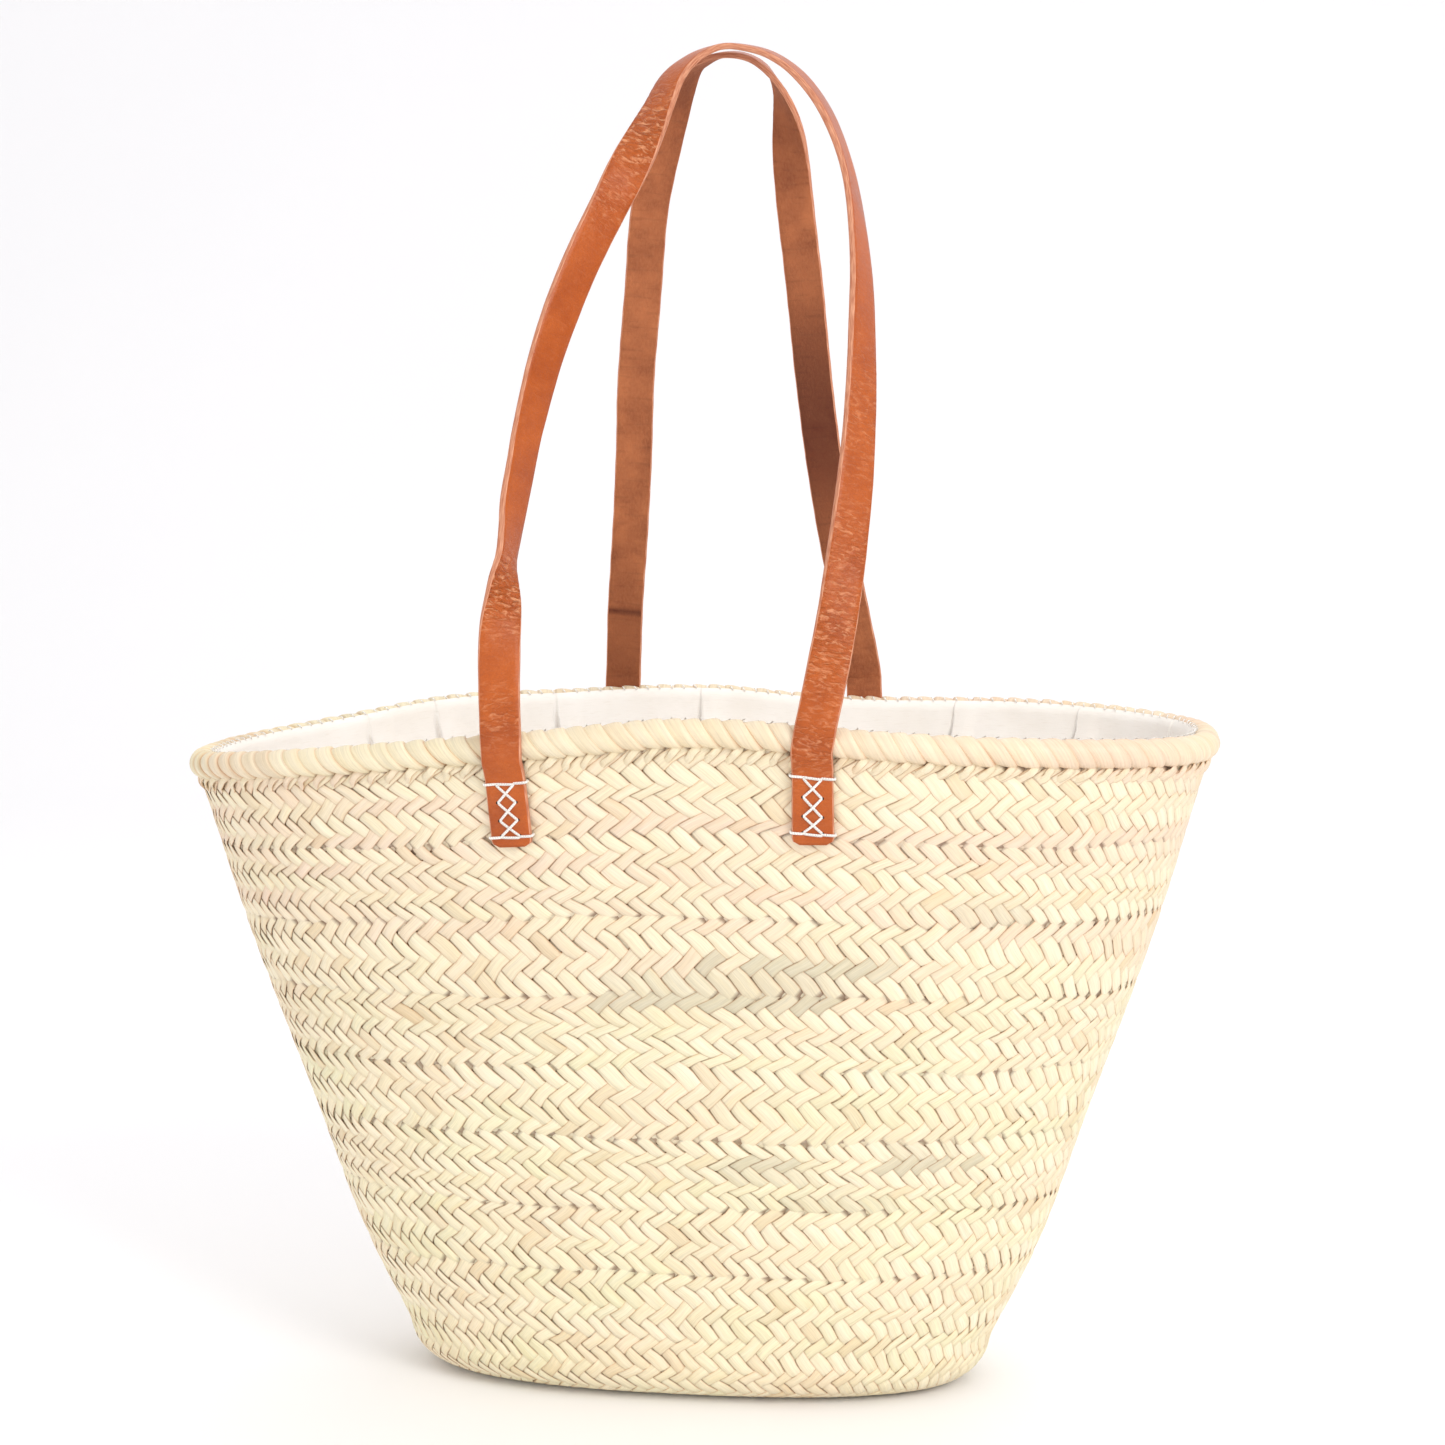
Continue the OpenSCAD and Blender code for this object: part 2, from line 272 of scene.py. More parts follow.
def tube(points, radius, sides, up, closed=False, flat=1.0):
    """Points and faces of a tube along a line, flattened along up, a direction that the line never takes."""
    points = np.asarray(points, float)
    along = frames_along(points, closed)
    across = np.cross(along, np.broadcast_to(up, points.shape))
    across /= np.linalg.norm(across, axis=-1, keepdims=True)
    other = np.cross(across, along)
    turn = np.arange(sides) * TAU / sides
    radius = np.broadcast_to(radius, len(points))[:, None, None]
    ring = across[:, None] * np.cos(turn)[None, :, None] + other[:, None] * flat * np.sin(turn)[None, :, None]
    verts = (points[:, None] + ring * radius).reshape(-1, 3)
    faces = list(grid_faces(len(points), sides, close_rows=closed, close_columns=True))
    if not closed:
        last = (len(points) - 1) * sides
        faces = [list(f) for f in faces] + [list(range(sides))[::-1], list(range(last, last + sides))]
    return verts, faces


def joined(parts):
    """One list of points and one of faces from several."""
    verts, faces, start = [], [], 0
    for part_verts, part_faces in parts:
        verts.append(part_verts)
        faces.extend([[int(v) + start for v in f] for f in part_faces])
        start += len(part_verts)
    return np.concatenate(verts), faces


# ---- Material nodes ----

def srgb(r, g, b):
    """A colour from its 0 to 255 display values."""
    c = np.array([r, g, b]) / 255
    return tuple(np.where(c <= 0.04045, c / 12.92, ((c + 0.055) / 1.055) ** 2.4)) + (1.0,)


class Surface:
    """A material with one Principled shader, and short calls for the nodes in front of it."""

    def __init__(self, name, **settings):
        self.material = bpy.data.materials.new(name)
        self.material.use_nodes = True
        self.tree = self.material.node_tree
        self.shader = self.tree.nodes["Principled BSDF"]
        for key, value in settings.items():
            self.shader.inputs[key.replace("_", " ").title().replace("Ior", "IOR")].default_value = value

    def node(self, kind, inputs, output=0, **settings):
        made = self.tree.nodes.new("ShaderNode" + kind)
        for key, value in settings.items():
            setattr(made, key, value)
        for key, value in inputs.items():
            self.put(made.inputs[key], value)
        return made.outputs[output]

    def put(self, socket, value):
        if isinstance(value, bpy.types.NodeSocket):
            self.tree.links.new(value, socket)
        else:
            socket.default_value = value

    def attribute(self, name, output="Color"):
        return self.node("Attribute", {}, output, attribute_name=name)

    def math(self, operation, a, b=0.0, c=0.0):
        return self.node("Math", {0: a, 1: b, 2: c}, operation=operation)

    def scaled(self, vector, scale):
        return self.node("Mapping", {"Vector": vector, "Scale": scale})

    def noise(self, vector, scale, detail=2.0, roughness=0.5, distortion=0.0):
        inputs = {"Vector": vector, "Scale": scale, "Detail": detail, "Roughness": roughness,
                  "Distortion": distortion}
        return self.node("TexNoise", inputs)

    def between(self, value, low, high, to_low=0.0, to_high=1.0):
        inputs = {"Value": value, "From Min": low, "From Max": high, "To Min": to_low, "To Max": to_high}
        return self.node("MapRange", inputs)

    def mix(self, factor, a, b, blend="MIX"):
        made = self.tree.nodes.new("ShaderNodeMix")
        made.data_type = "RGBA"
        made.blend_type = blend
        self.put(made.inputs["Factor"], factor)
        self.put(made.inputs["A"], a)
        self.put(made.inputs["B"], b)
        return made.outputs["Result"]

    def bump(self, height, distance, strength=1.0, normal=None):
        inputs = {"Height": height, "Distance": distance, "Strength": strength}
        if normal is not None:
            inputs["Normal"] = normal
        return self.node("Bump", inputs)

    def position(self):
        return self.node("TexCoord", {}, "Object")


def palm_material(name, roughness, streak_depth, edge_shade_power, edge_shade_share):
    """Dried palm leaf. The point attribute 'leaf' holds the place across (-1 to 1), along (m) and a seed."""
    surface = Surface(name, roughness=roughness)
    leaf = surface.attribute("leaf", "Vector")
    tint = surface.attribute("tint")
    split = surface.node("SeparateXYZ", {"Vector": leaf}, "X")
    fibres = surface.noise(surface.scaled(leaf, (7.0, 60.0, 31.0)), 1.0, 3.0, 0.55)
    broad = surface.noise(surface.scaled(leaf, (1.3, 45.0, 17.0)), 1.0, 2.0, 0.5)
    # Painted shade: each strip's colour darkens and browns towards its edges, where it dips beside its neighbours
    edge = surface.math("POWER", surface.math("ABSOLUTE", split), edge_shade_power)
    shade = surface.between(fibres, 0.3, 0.72, 0.86, 1.06)
    colour = surface.mix(1.0, tint, surface.node("CombineColor", {0: shade, 1: shade, 2: shade}), "MULTIPLY")
    colour = surface.mix(surface.between(broad, 0.35, 0.75, 0.0, 0.4), colour,
                         surface.mix(1.0, colour, srgb(248, 238, 214), "MULTIPLY"))
    edge = surface.math("MULTIPLY", edge, edge_shade_share)
    colour = surface.mix(edge, colour, surface.mix(1.0, colour, srgb(214, 150, 96), "MULTIPLY"))
    surface.put(surface.shader.inputs["Base Color"], colour)
    surface.put(surface.shader.inputs["Roughness"], surface.between(broad, 0.3, 0.7, roughness - 0.06, roughness + 0.1))
    surface.put(surface.shader.inputs["Normal"], surface.bump(fibres, streak_depth))
    return surface.material


def fibre_material():
    """Twine and packed leaf inside the rim."""
    surface = Surface("fibre", roughness=0.8)
    leaf = surface.attribute("leaf", "Vector")
    fibres = surface.noise(surface.scaled(leaf, (9.0, 300.0, 23.0)), 1.0, 3.0)
    surface.put(surface.shader.inputs["Base Color"], surface.mix(fibres, srgb(150, 118, 74), srgb(214, 186, 138)))
    surface.put(surface.shader.inputs["Normal"], surface.bump(fibres, 0.0003))
    return surface.material


def grain_material():
    """The smooth, oiled side of the strap, with pores, soft mottling and fine cross creases where it bends, paler on
    the creases from wear and from painted glints.
    """
    surface = Surface("leather_grain", roughness=0.36, specular_ior_level=0.35, coat_weight=0.08, coat_roughness=0.25)
    place = surface.attribute("strap", "Vector")
    crease = surface.attribute("crease", "Fac")
    at = surface.position()
    mottle = surface.noise(at, 55.0, 4.0, 0.6)
    pores = surface.noise(at, 1500.0, 3.0, 0.6)
    cells = surface.node("TexVoronoi", {"Vector": at, "Scale": 1050.0}, "Distance")
    folds = surface.noise(surface.scaled(place, (210.0, 560.0, 1.0)), 1.0, 3.0, 0.62, 0.8)
    colour = surface.mix(surface.between(mottle, 0.32, 0.68), srgb(164, 72, 8), srgb(188, 90, 20))
    colour = surface.mix(surface.between(pores, 0.35, 0.7, 0.0, 0.35), colour, srgb(142, 58, 8))
    # Paler colour on the creased folds: partly rubbed wear, partly painted glints of light on the wrinkles
    wear_and_glint = surface.math("MULTIPLY", crease, surface.between(folds, 0.5, 0.72))
    colour = surface.mix(surface.math("MULTIPLY", wear_and_glint, 0.75), colour, srgb(244, 176, 130))
    surface.put(surface.shader.inputs["Base Color"], colour)
    surface.put(surface.shader.inputs["Roughness"], surface.between(mottle, 0.3, 0.7, 0.3, 0.46))
    height = surface.math("MULTIPLY", folds, surface.math("MULTIPLY_ADD", crease, 1.2, 0.1))
    normal = surface.bump(height, 0.0018)
    normal = surface.bump(surface.math("MULTIPLY_ADD", cells, 0.6, surface.math("MULTIPLY", pores, 0.6)), 0.00018,
                          0.7, normal)
    surface.put(surface.shader.inputs["Normal"], normal)
    return surface.material


def flesh_material():
    """The rough back of the strap, brown and fibrous, with darker patches, darker still in zones along its run."""
    surface = Surface("leather_flesh", roughness=0.86)
    place = surface.attribute("strap", "Vector")
    at = surface.position()
    darkened = surface.attribute("stain", "Fac")
    fuzz = surface.noise(surface.scaled(place, (900.0, 420.0, 1.0)), 1.0, 5.0, 0.7)
    stain = surface.noise(at, 38.0, 4.0, 0.62)
    cross = surface.noise(surface.scaled(place, (60.0, 420.0, 1.0)), 1.0, 2.0)
    colour = surface.mix(surface.between(stain, 0.34, 0.68), srgb(142, 75, 41), srgb(192, 113, 68))
    colour = surface.mix(surface.between(fuzz, 0.4, 0.75, 0.0, 0.4), colour, srgb(198, 128, 84))
    colour = surface.mix(surface.between(cross, 0.55, 0.8, 0.0, 0.35), colour, srgb(104, 52, 28))
    colour = surface.mix(surface.math("MULTIPLY", darkened, surface.between(stain, 0.25, 0.6, 0.6, 1.0)), colour,
                         surface.mix(1.0, colour, srgb(136, 106, 84), "MULTIPLY"))
    surface.put(surface.shader.inputs["Base Color"], colour)
    surface.put(surface.shader.inputs["Normal"], surface.bump(fuzz, 0.0004))
    return surface.material


def edge_material():
    """The strap's raw cut edge, paler and pinker than its faces, in layers."""
    surface = Surface("leather_edge", roughness=0.7)
    place = surface.attribute("strap", "Vector")
    layers = surface.noise(surface.scaled(place, (1.0, 140.0, 2600.0)), 1.0, 2.0)
    colour = surface.mix(surface.between(layers, 0.35, 0.7), srgb(178, 104, 72), srgb(222, 160, 126))
    surface.put(surface.shader.inputs["Base Color"], colour)
    surface.put(surface.shader.inputs["Normal"], surface.bump(layers, 0.0003))
    return surface.material


def cotton_material():
    """Unbleached cotton. The attribute 'cloth' holds metres round the lining, metres down it and how much painted shade
    lies along a pleat's fold.
    """
    surface = Surface("cotton", roughness=0.9, sheen_weight=0.25, sheen_roughness=0.5)
    cloth = surface.attribute("cloth", "Vector")
    split = surface.tree.nodes.new("ShaderNodeSeparateXYZ")
    surface.put(split.inputs[0], cloth)
    thread = TAU / (0.62 * MM)
    warp = surface.math("SINE", surface.math("MULTIPLY", split.outputs["X"], thread))
    weft = surface.math("SINE", surface.math("MULTIPLY", split.outputs["Y"], thread))
    weave = surface.math("MULTIPLY", warp, weft)
    slub = surface.noise(surface.scaled(cloth, (160.0, 1400.0, 1.0)), 1.0, 3.0)
    soft = surface.noise(cloth, 22.0, 3.0)
    colour = surface.mix(surface.between(soft, 0.3, 0.7), srgb(244, 238, 230), srgb(252, 248, 243))
    colour = surface.mix(surface.between(slub, 0.55, 0.8, 0.0, 0.25), colour, srgb(222, 210, 194))
    # Painted shade: a warm grey line along each pleat's fold
    colour = surface.mix(split.outputs["Z"], colour, srgb(206, 184, 166))
    surface.put(surface.shader.inputs["Base Color"], colour)
    normal = surface.bump(soft, 0.004, 0.5)
    normal = surface.bump(surface.math("ADD", surface.math("MULTIPLY", weave, 0.3), slub), 0.00012, 0.8, normal)
    surface.put(surface.shader.inputs["Normal"], normal)
    return surface.material


def thread_material():
    """White waxed thread, with its twist."""
    surface = Surface("thread", roughness=0.6)
    leaf = surface.attribute("leaf", "Vector")
    split = surface.tree.nodes.new("ShaderNodeSeparateXYZ")
    surface.put(split.inputs[0], leaf)
    lay = surface.math("MULTIPLY_ADD", split.outputs["Y"], TAU / (1.1 * MM), split.outputs["X"])
    twist = surface.math("SINE", lay)
    # Painted shade: the thread is darker in the grooves of its twist
    colour = surface.mix(surface.between(twist, -1.0, 1.0), srgb(236, 230, 222), srgb(254, 252, 249))
    surface.put(surface.shader.inputs["Base Color"], colour)
    surface.put(surface.shader.inputs["Normal"], surface.bump(twist, 0.00015))
    return surface.material


def hole_material():
    # Painted shade: stitch holes are dark discs that stand for the shade inside each hole
    surface = Surface("stitch_hole", roughness=0.9)
    shade = surface.noise(surface.position(), 2500.0, 2.0)
    surface.put(surface.shader.inputs["Base Color"], surface.mix(shade, srgb(26, 16, 12), srgb(58, 34, 24)))
    return surface.material


PALM = palm_material("palm", 0.5, 0.00022, 14.0, 0.75)
LEAF = palm_material("leaf", 0.46, 0.0003, 14.0, 0.85)
FIBRE = fibre_material()
GRAIN = grain_material()
FLESH = flesh_material()
EDGE = edge_material()
COTTON = cotton_material()
THREAD = thread_material()
HOLE = hole_material()


# ---- Plait ----

# Cross-section of one leaf strip: place across, and height as a share of its crown
ACROSS = np.array([-1.0, -0.92, 0.0, 0.9, 1.0])
CROWN = np.array([-1.7, 0.1, 1.0, 0.5, -0.9])
CROWN_H = 0.17 * MM
RELIEF = 0.56 * MM
PLAIT_DEPTH = 0.95 * MM
ROW_STEPS = np.array([-0.44, -0.15, 0.15, 0.44])
OVERHANG = 0.6
# How much finer the strips are at the basket's ends than in the middle of its front and back
CROWDING = 0.18
# Painted shade: the first colour darkens the gaps at the seams between the courses, the second stands for the plait's
# shaded inside behind the strips
SEAM_SHADE = srgb(98, 50, 18)
SHADE = srgb(196, 130, 70)
CREAM = srgb(236, 222, 189)
PALE = srgb(244, 233, 207)
PINK = srgb(235, 211, 187)
GREEN = srgb(232, 231, 189)
GREY = srgb(206, 197, 172)
TAN = srgb(220, 192, 152)


def row_warp(row):
    """The rows that lean left are taller than the rows that lean right."""
    return row + 0.07 * (1 + np.sin(math.pi * row))


def wander(turn, row):
    """How far the hand-plaited lattice strays, in pitches and in rows."""
    t = TAU * turn
    across = 0.10 * np.sin(5 * t + 0.31 * row + 1.3) + 0.08 * np.sin(17 * t - 0.47 * row) \
        + 0.06 * np.sin(39 * t + 1.9 * row + 0.6)
    up = 0.10 * np.sin(4 * t + 0.9 * row) + 0.07 * np.sin(13 * t + 1.7 * row + 2.1) \
        + 0.05 * np.sin(31 * t - 2.6 * row)
    return across, up


def patch(x, y, z):
    """Where greyer leaf was plaited in: two streaks across the front and shorter ones on the back."""
    streaks = [(52, 219, 78, 10, -1), (5, 207, 62, 7, -1), (35, 124, 34, 7, -1), (112, 128, 30, 7, -1),
               (74, 108, 36, 6, -1), (150, 250, 26, 7, -1), (-70, 190, 80, 10, 1), (95, 120, 50, 9, 1)]
    total = 0.0
    for middle_x, middle_z, width, height, side in streaks:
        near = bell(x, middle_x * MM, width * MM) * bell(z, middle_z * MM, height * MM)
        total = total + near * (side * y > 0)
    return np.clip(total, 0, 1)


def leaf_tints(at, turn, row, lean, strand, each):
    """A float's colour, from the place of its middle, the way it leans, its strand and its own chance."""
    x, y, z = at[..., 0], at[..., 1], at[..., 2]
    high = z / WALL_TOP
    t = TAU * turn
    drift = 0.5 + 0.25 * np.sin(3 * t + 0.8 * row) + 0.25 * np.sin(8 * t - 0.5 * row + 2.0)
    streak = 0.5 + 0.5 * np.sin(5 * t + 1.7 * row + 3 * np.sin(2 * t + 0.3 * row))
    tint = np.broadcast_to(np.array(CREAM), at.shape[:-1] + (4,)).copy()

    def blend(colour, share):
        nonlocal tint
        share = np.clip(share, 0, 1)[..., None]
        tint = tint * (1 - share) + np.array(colour) * share

    upper = smooth((high - 0.5) / 0.35)
    # Painted light: the shares that hang on the lean stand for the light falling differently on the two leans, so
    # floats with lean below 0 are paler and those with lean above 0 pinker and greyer
    blend(GREEN, (0.75 - 0.65 * upper) * smooth(drift * 1.4 - 0.15) * (0.6 + 0.6 * each[..., 0]))
    blend(PINK, (0.1 + 0.55 * upper) * smooth(streak * 1.5 - 0.35) + (0.1 + 0.14 * upper) * (lean > 0)
          + 0.25 * (each[..., 1] > 0.9))
    blend(PALE, (0.65 if lean < 0 else 0.3) * smooth(1.4 - streak) * (1.1 - 0.3 * upper) + 0.3 * (each[..., 2] - 0.4))
    blend(TAN, 0.35 * (strand[..., 1] > 0.96) + 0.35 * (each[..., 3] > 0.975))
    grey = smooth((patch(x, y, z) * (0.55 + 0.8 * each[..., 0]) - 0.42) / 0.2)
    blend(GREY, grey * (0.75 if lean > 0 else 0.4))
    return tint * (0.965 + 0.05 * each[..., 1:2]) * (1.0 + 0.045 * (1 - smooth(high / 0.7)))[..., None]


def plait(name, surface_at, rows, first_row, count, span, closed, nodes, seed, backing):
    """Strips plaited over two and under two, as one piece. surface_at(turn, share, height) gives the points of
    the surface, where the share runs from 0 at the first row's lower edge to 1 at the last row's upper edge, and
    the turn goes round it once for that count of pitches, or over the span of turns of an open panel."""
    rng = np.random.default_rng(seed)
    low = first_row - 0.5
    row = (np.arange(first_row - 1, first_row + rows + 1)[:, None] + ROW_STEPS[None]).ravel()
    row = row[(row > low - OVERHANG) & (row < low + rows + OVERHANG)]
    parts, tints, leaves = [], [], []
    for lean in (-1, 1):
        reach = 0 if closed else rows + 1
        strips = np.arange(-reach, count + reach)
        start = strips - (0.5 if lean > 0 else 0.0)
        over_row = 0 if lean < 0 else 1
        float_at = np.floor((row - over_row) / 2 + 0.5).astype(int)
        floats = float_at - float_at.min()
        strand_random = rng.random((len(strips), 4))
        float_random = rng.random((len(strips), floats.max() + 1, 7))[:, floats]
        cycle = np.cos(math.pi * (row - over_row))
        height = RELIEF * np.clip(6.0 * cycle, -1, 1) * (0.88 + 0.12 * np.abs(cycle))
        beyond = np.maximum(low - row, row - (low + rows)) + 0.18
        height = np.minimum(height, RELIEF - (2 * RELIEF + 0.5 * MM) * smooth(beyond / 0.4))
        width = 0.25 * (0.985 + 0.09 * (float_random[..., 4] - 0.5) - 0.13 * (float_random[..., 6] > 0.93))
        a = ACROSS[None, None] * width[..., None]
        pitch = start[:, None, None] + lean * row[None, :, None] + a
        lattice_row = row[None, :, None] - lean * a
        turn = pitch / count
        stray, lift = wander(turn, lattice_row)
        turn = turn + stray / count - closed * CROWDING * np.sin(2 * TAU * turn) / (2 * TAU)
        share = (row_warp(lattice_row + lift) - low) / rows
        tilt = MM * (0.13 + 0.24 * (float_random[..., 5] - 0.5))[..., None] * ACROSS
        swell = (1 + 0.5 * (float_random[..., 6] - 0.5))[..., None] * CROWN * CROWN_H
        out = height[None, :, None] + tilt + swell
        if not closed:
            keep = np.clip((np.abs(turn - 0.5) - 0.5) * count * 1.2, 0, 1)
            out = out - 2.2 * MM * keep
            turn = np.clip(turn, -0.6 / count, 1 + 0.6 / count)
        points = surface_at(turn * span, share, out)
        strips_n, steps_n, across_n = points.shape[:3]
        block = grid_faces(steps_n, across_n)
        if lean > 0:
            block = block[:, ::-1]
        offsets = np.arange(strips_n)[:, None, None] * steps_n * across_n
        faces = (block[None] + offsets).reshape(-1, 4)
        parts.append((points.reshape(-1, 3), faces))
        # One colour for each float, from where its middle lies
        middle = np.abs(row[None] - (2 * float_at + over_row)[:, None]).argmin(1)
        at = points[:, middle, 2]
        wide_turn = (start[:, None] + lean * row[None, middle]) / count
        colour = leaf_tints(at, wide_turn, row[middle][None], lean, strand_random[:, None], float_random)
        colour = np.broadcast_to(colour[:, :, None], points.shape[:3] + (4,))
        # Painted shade: here and there the strip ends that dive at the seams between the courses are darkened, as the
        # shadow in the gaps there
        seam_shade_share = smooth((beyond - 0.18) / 0.1)[None] * (0.25 + 0.75 * (float_random[..., 5] > 0.55))
        colour = colour + (np.array(SEAM_SHADE) - colour) * seam_shade_share[..., None, None]
        tints.append(colour.reshape(-1, 4))
        run = np.broadcast_to((row * 13 * MM)[None, :, None], points.shape[:3])
        seed_value = np.broadcast_to(strand_random[:, :1, None] + 0.4 * float_random[..., :1], points.shape[:3])
        leaves.append(np.stack([np.broadcast_to(ACROSS, points.shape[:3]), run, seed_value], -1).reshape(-1, 3))
    backing_points, backing_faces, columns = backing
    parts.append((backing_points, backing_faces))
    # Painted shade: the backing sheet stands for the plait's shaded inside, and is darker still along its edges, where
    # the seams between the courses gape
    edge_rows = np.zeros(len(backing_points), bool)
    edge_rows[:columns] = edge_rows[-columns:] = True
    tints.append(np.where(edge_rows[:, None], np.array(SEAM_SHADE), np.array(SHADE)))
    leaves.append(np.stack([np.zeros(len(backing_points)), backing_points[:, 2], backing_points[:, 0]], -1))
    points, faces = joined(parts)
    piece = new_mesh(name, points, faces, [PALM], {"tint": np.concatenate(tints), "leaf": np.concatenate(leaves)})
    return finish_piece(piece, nodes)


def ring_backing(low, high, depth, rows=7, columns=180):
    """A sheet behind the plait's strips that stands for its inside, coloured with painted shade."""
    turn = np.arange(columns) / columns
    run = np.linspace(low, high, rows)
    points = on_wall(turn[None, :], run[:, None], np.full((rows, columns), -depth))
    return points.reshape(-1, 3), grid_faces(rows, columns, close_columns=True), columns


def course(k, rows, first_row, count):
    low = 0.0 if k == 1 else run_at(course_top(k - 1))
    high = run_at(course_top(k))

    def surface_at(turn, share, height):
        run = low + (high - low) * share
        depth = PLAIT_DEPTH + 0.5 * MM * (1 - smooth(run / (30 * MM)))
        return on_wall(turn, run, height - depth)

    backing = ring_backing(low, high, PLAIT_DEPTH + 1.9 * MM)
    return plait(f"plaited_course_{k}", surface_at, rows, first_row, count, 1.0, True, [f"wall_course_{k}"],
                 100 + k, backing)


# Rows of plait in each course, and strips of each lean round it, from the foot up
ROWS = [6, 4, 4, 5, 4, 5, 4, 5, 5]
PITCHES = [102, 102, 104, 112, 114, 118, 126, 132, 136]
for k in range(1, COURSES + 1):
    course(k, ROWS[k - 1], sum(ROWS[:k - 1]), PITCHES[k - 1])


# ---- Flat base: rings of plait round a straight band ----

BASE_ROWS = 4
BASE_RING = 26 * MM
BAND_ROWS = 5
BAND_HALF_W = base_high.y - BASE_RING + 3 * MM
BAND_HALF_L = base_high.x - BASE_RING + 3 * MM


def base_ring():
    def surface_at(turn, share, height):
        return on_wall(turn, BASE_RING * (share - 1), height - PLAIT_DEPTH - 0.5 * MM)

    backing = ring_backing(-BASE_RING, 0.0, PLAIT_DEPTH + 2.2 * MM)
    return plait("plaited_base_ring", surface_at, BASE_ROWS, -BASE_ROWS, 72, 1.0, True, ["base_panel"], 61, backing)


def base_band():
    def surface_at(turn, share, height):
        x = BAND_HALF_L * (2 * turn - 1)
        y = BAND_HALF_W * (2 * share - 1) * np.sqrt(np.clip(1.02 - (x / BAND_HALF_L) ** 4, 0.02, 1))
        return np.stack([x, y, PLAIT_DEPTH + 0.45 * MM - height], -1)

    xs = np.linspace(-1, 1, 24) * BAND_HALF_L
    ys = np.linspace(-1, 1, 4)
    grid = np.stack(np.broadcast_arrays(
        xs[None, :], ys[:, None] * BAND_HALF_W * np.sqrt(1.02 - (xs[None, :] / BAND_HALF_L) ** 4),
        PLAIT_DEPTH + 2.6 * MM), -1)
    backing = grid.reshape(-1, 3), grid_faces(len(ys), len(xs)), len(xs)
    return plait("plaited_base_band", surface_at, BAND_ROWS, 0, 25, 1.0, False, ["base_panel"], 62, backing)


base_ring()
base_band()


# ---- Twine between the courses ----

def joining_twine():
    """One lacing of twine between each two courses, to and fro behind the plait."""
    sides, parts, leaves = 5, [], []
    for k in range(1, COURSES):
        steps = PITCHES[k - 1] * 4
        turn = np.arange(steps) / steps
        sway = 1.4 * MM * np.sin(math.pi * np.arange(steps) / 2 + k)
        line = on_wall(turn, run_at(course_top(k)) + sway, np.full(steps, -3.3 * MM))
        verts, faces = tube(line, 0.45 * MM, sides, (0, 0, 1), closed=True)
        parts.append((verts, faces))
        run = np.repeat(turn, sides)
        leaves.append(np.stack([np.tile(np.arange(sides) / sides, steps), run, np.full(len(run), k)], -1))
    points, faces = joined(parts)
    piece = new_mesh("joining_twine", points, faces, [FIBRE], {"leaf": np.concatenate(leaves)})
    return finish_piece(piece, ["joining_fibre"])


joining_twine()


# ---- Rim ----

RIM_WRAPS = 130
WRAP_STEPS = 24
WRAP_ACROSS = np.array([-1.0, -0.93, -0.6, -0.15, 0.3, 0.66, 0.86, 1.0])
WRAP_HEIGHT = np.array([-0.7, -0.5, 0.0, 0.55, 0.95, 1.05, 0.85, -0.5]) * MM


def rim_line(turn):
    """Middle of the rim bundle, and the directions out of the basket and up, at each turn."""
    z = np.full(np.shape(turn), WALL_TOP)
    angle = angle_at(turn, z)
    centre = shell(np.full(np.shape(turn), RIM_INSET), z, angle)
    ahead = shell(np.full(np.shape(turn), RIM_INSET), z, angle_at(turn + 0.001, z))
    behind = shell(np.full(np.shape(turn), RIM_INSET), z, angle_at(turn - 0.001, z))
    along = ahead - behind
    along /= np.linalg.norm(along, axis=-1, keepdims=True)
    out = np.cross(along, np.broadcast_to((0.0, 0.0, 1.0), along.shape))
    out /= np.linalg.norm(out, axis=-1, keepdims=True)
    up = np.cross(out, along)
    centre = centre + np.array([0, 0, RIM_R])
    return centre, out, up


def rim_point(turn, around, radius):
    """A point of the rim bundle: around is 0 outside, a quarter turn on top and a half turn inside."""
    centre, out, up = rim_line(turn)
    reach = np.asarray(radius)[..., None]
    return centre + (out * np.cos(around)[..., None] + up * np.sin(around)[..., None]) * reach


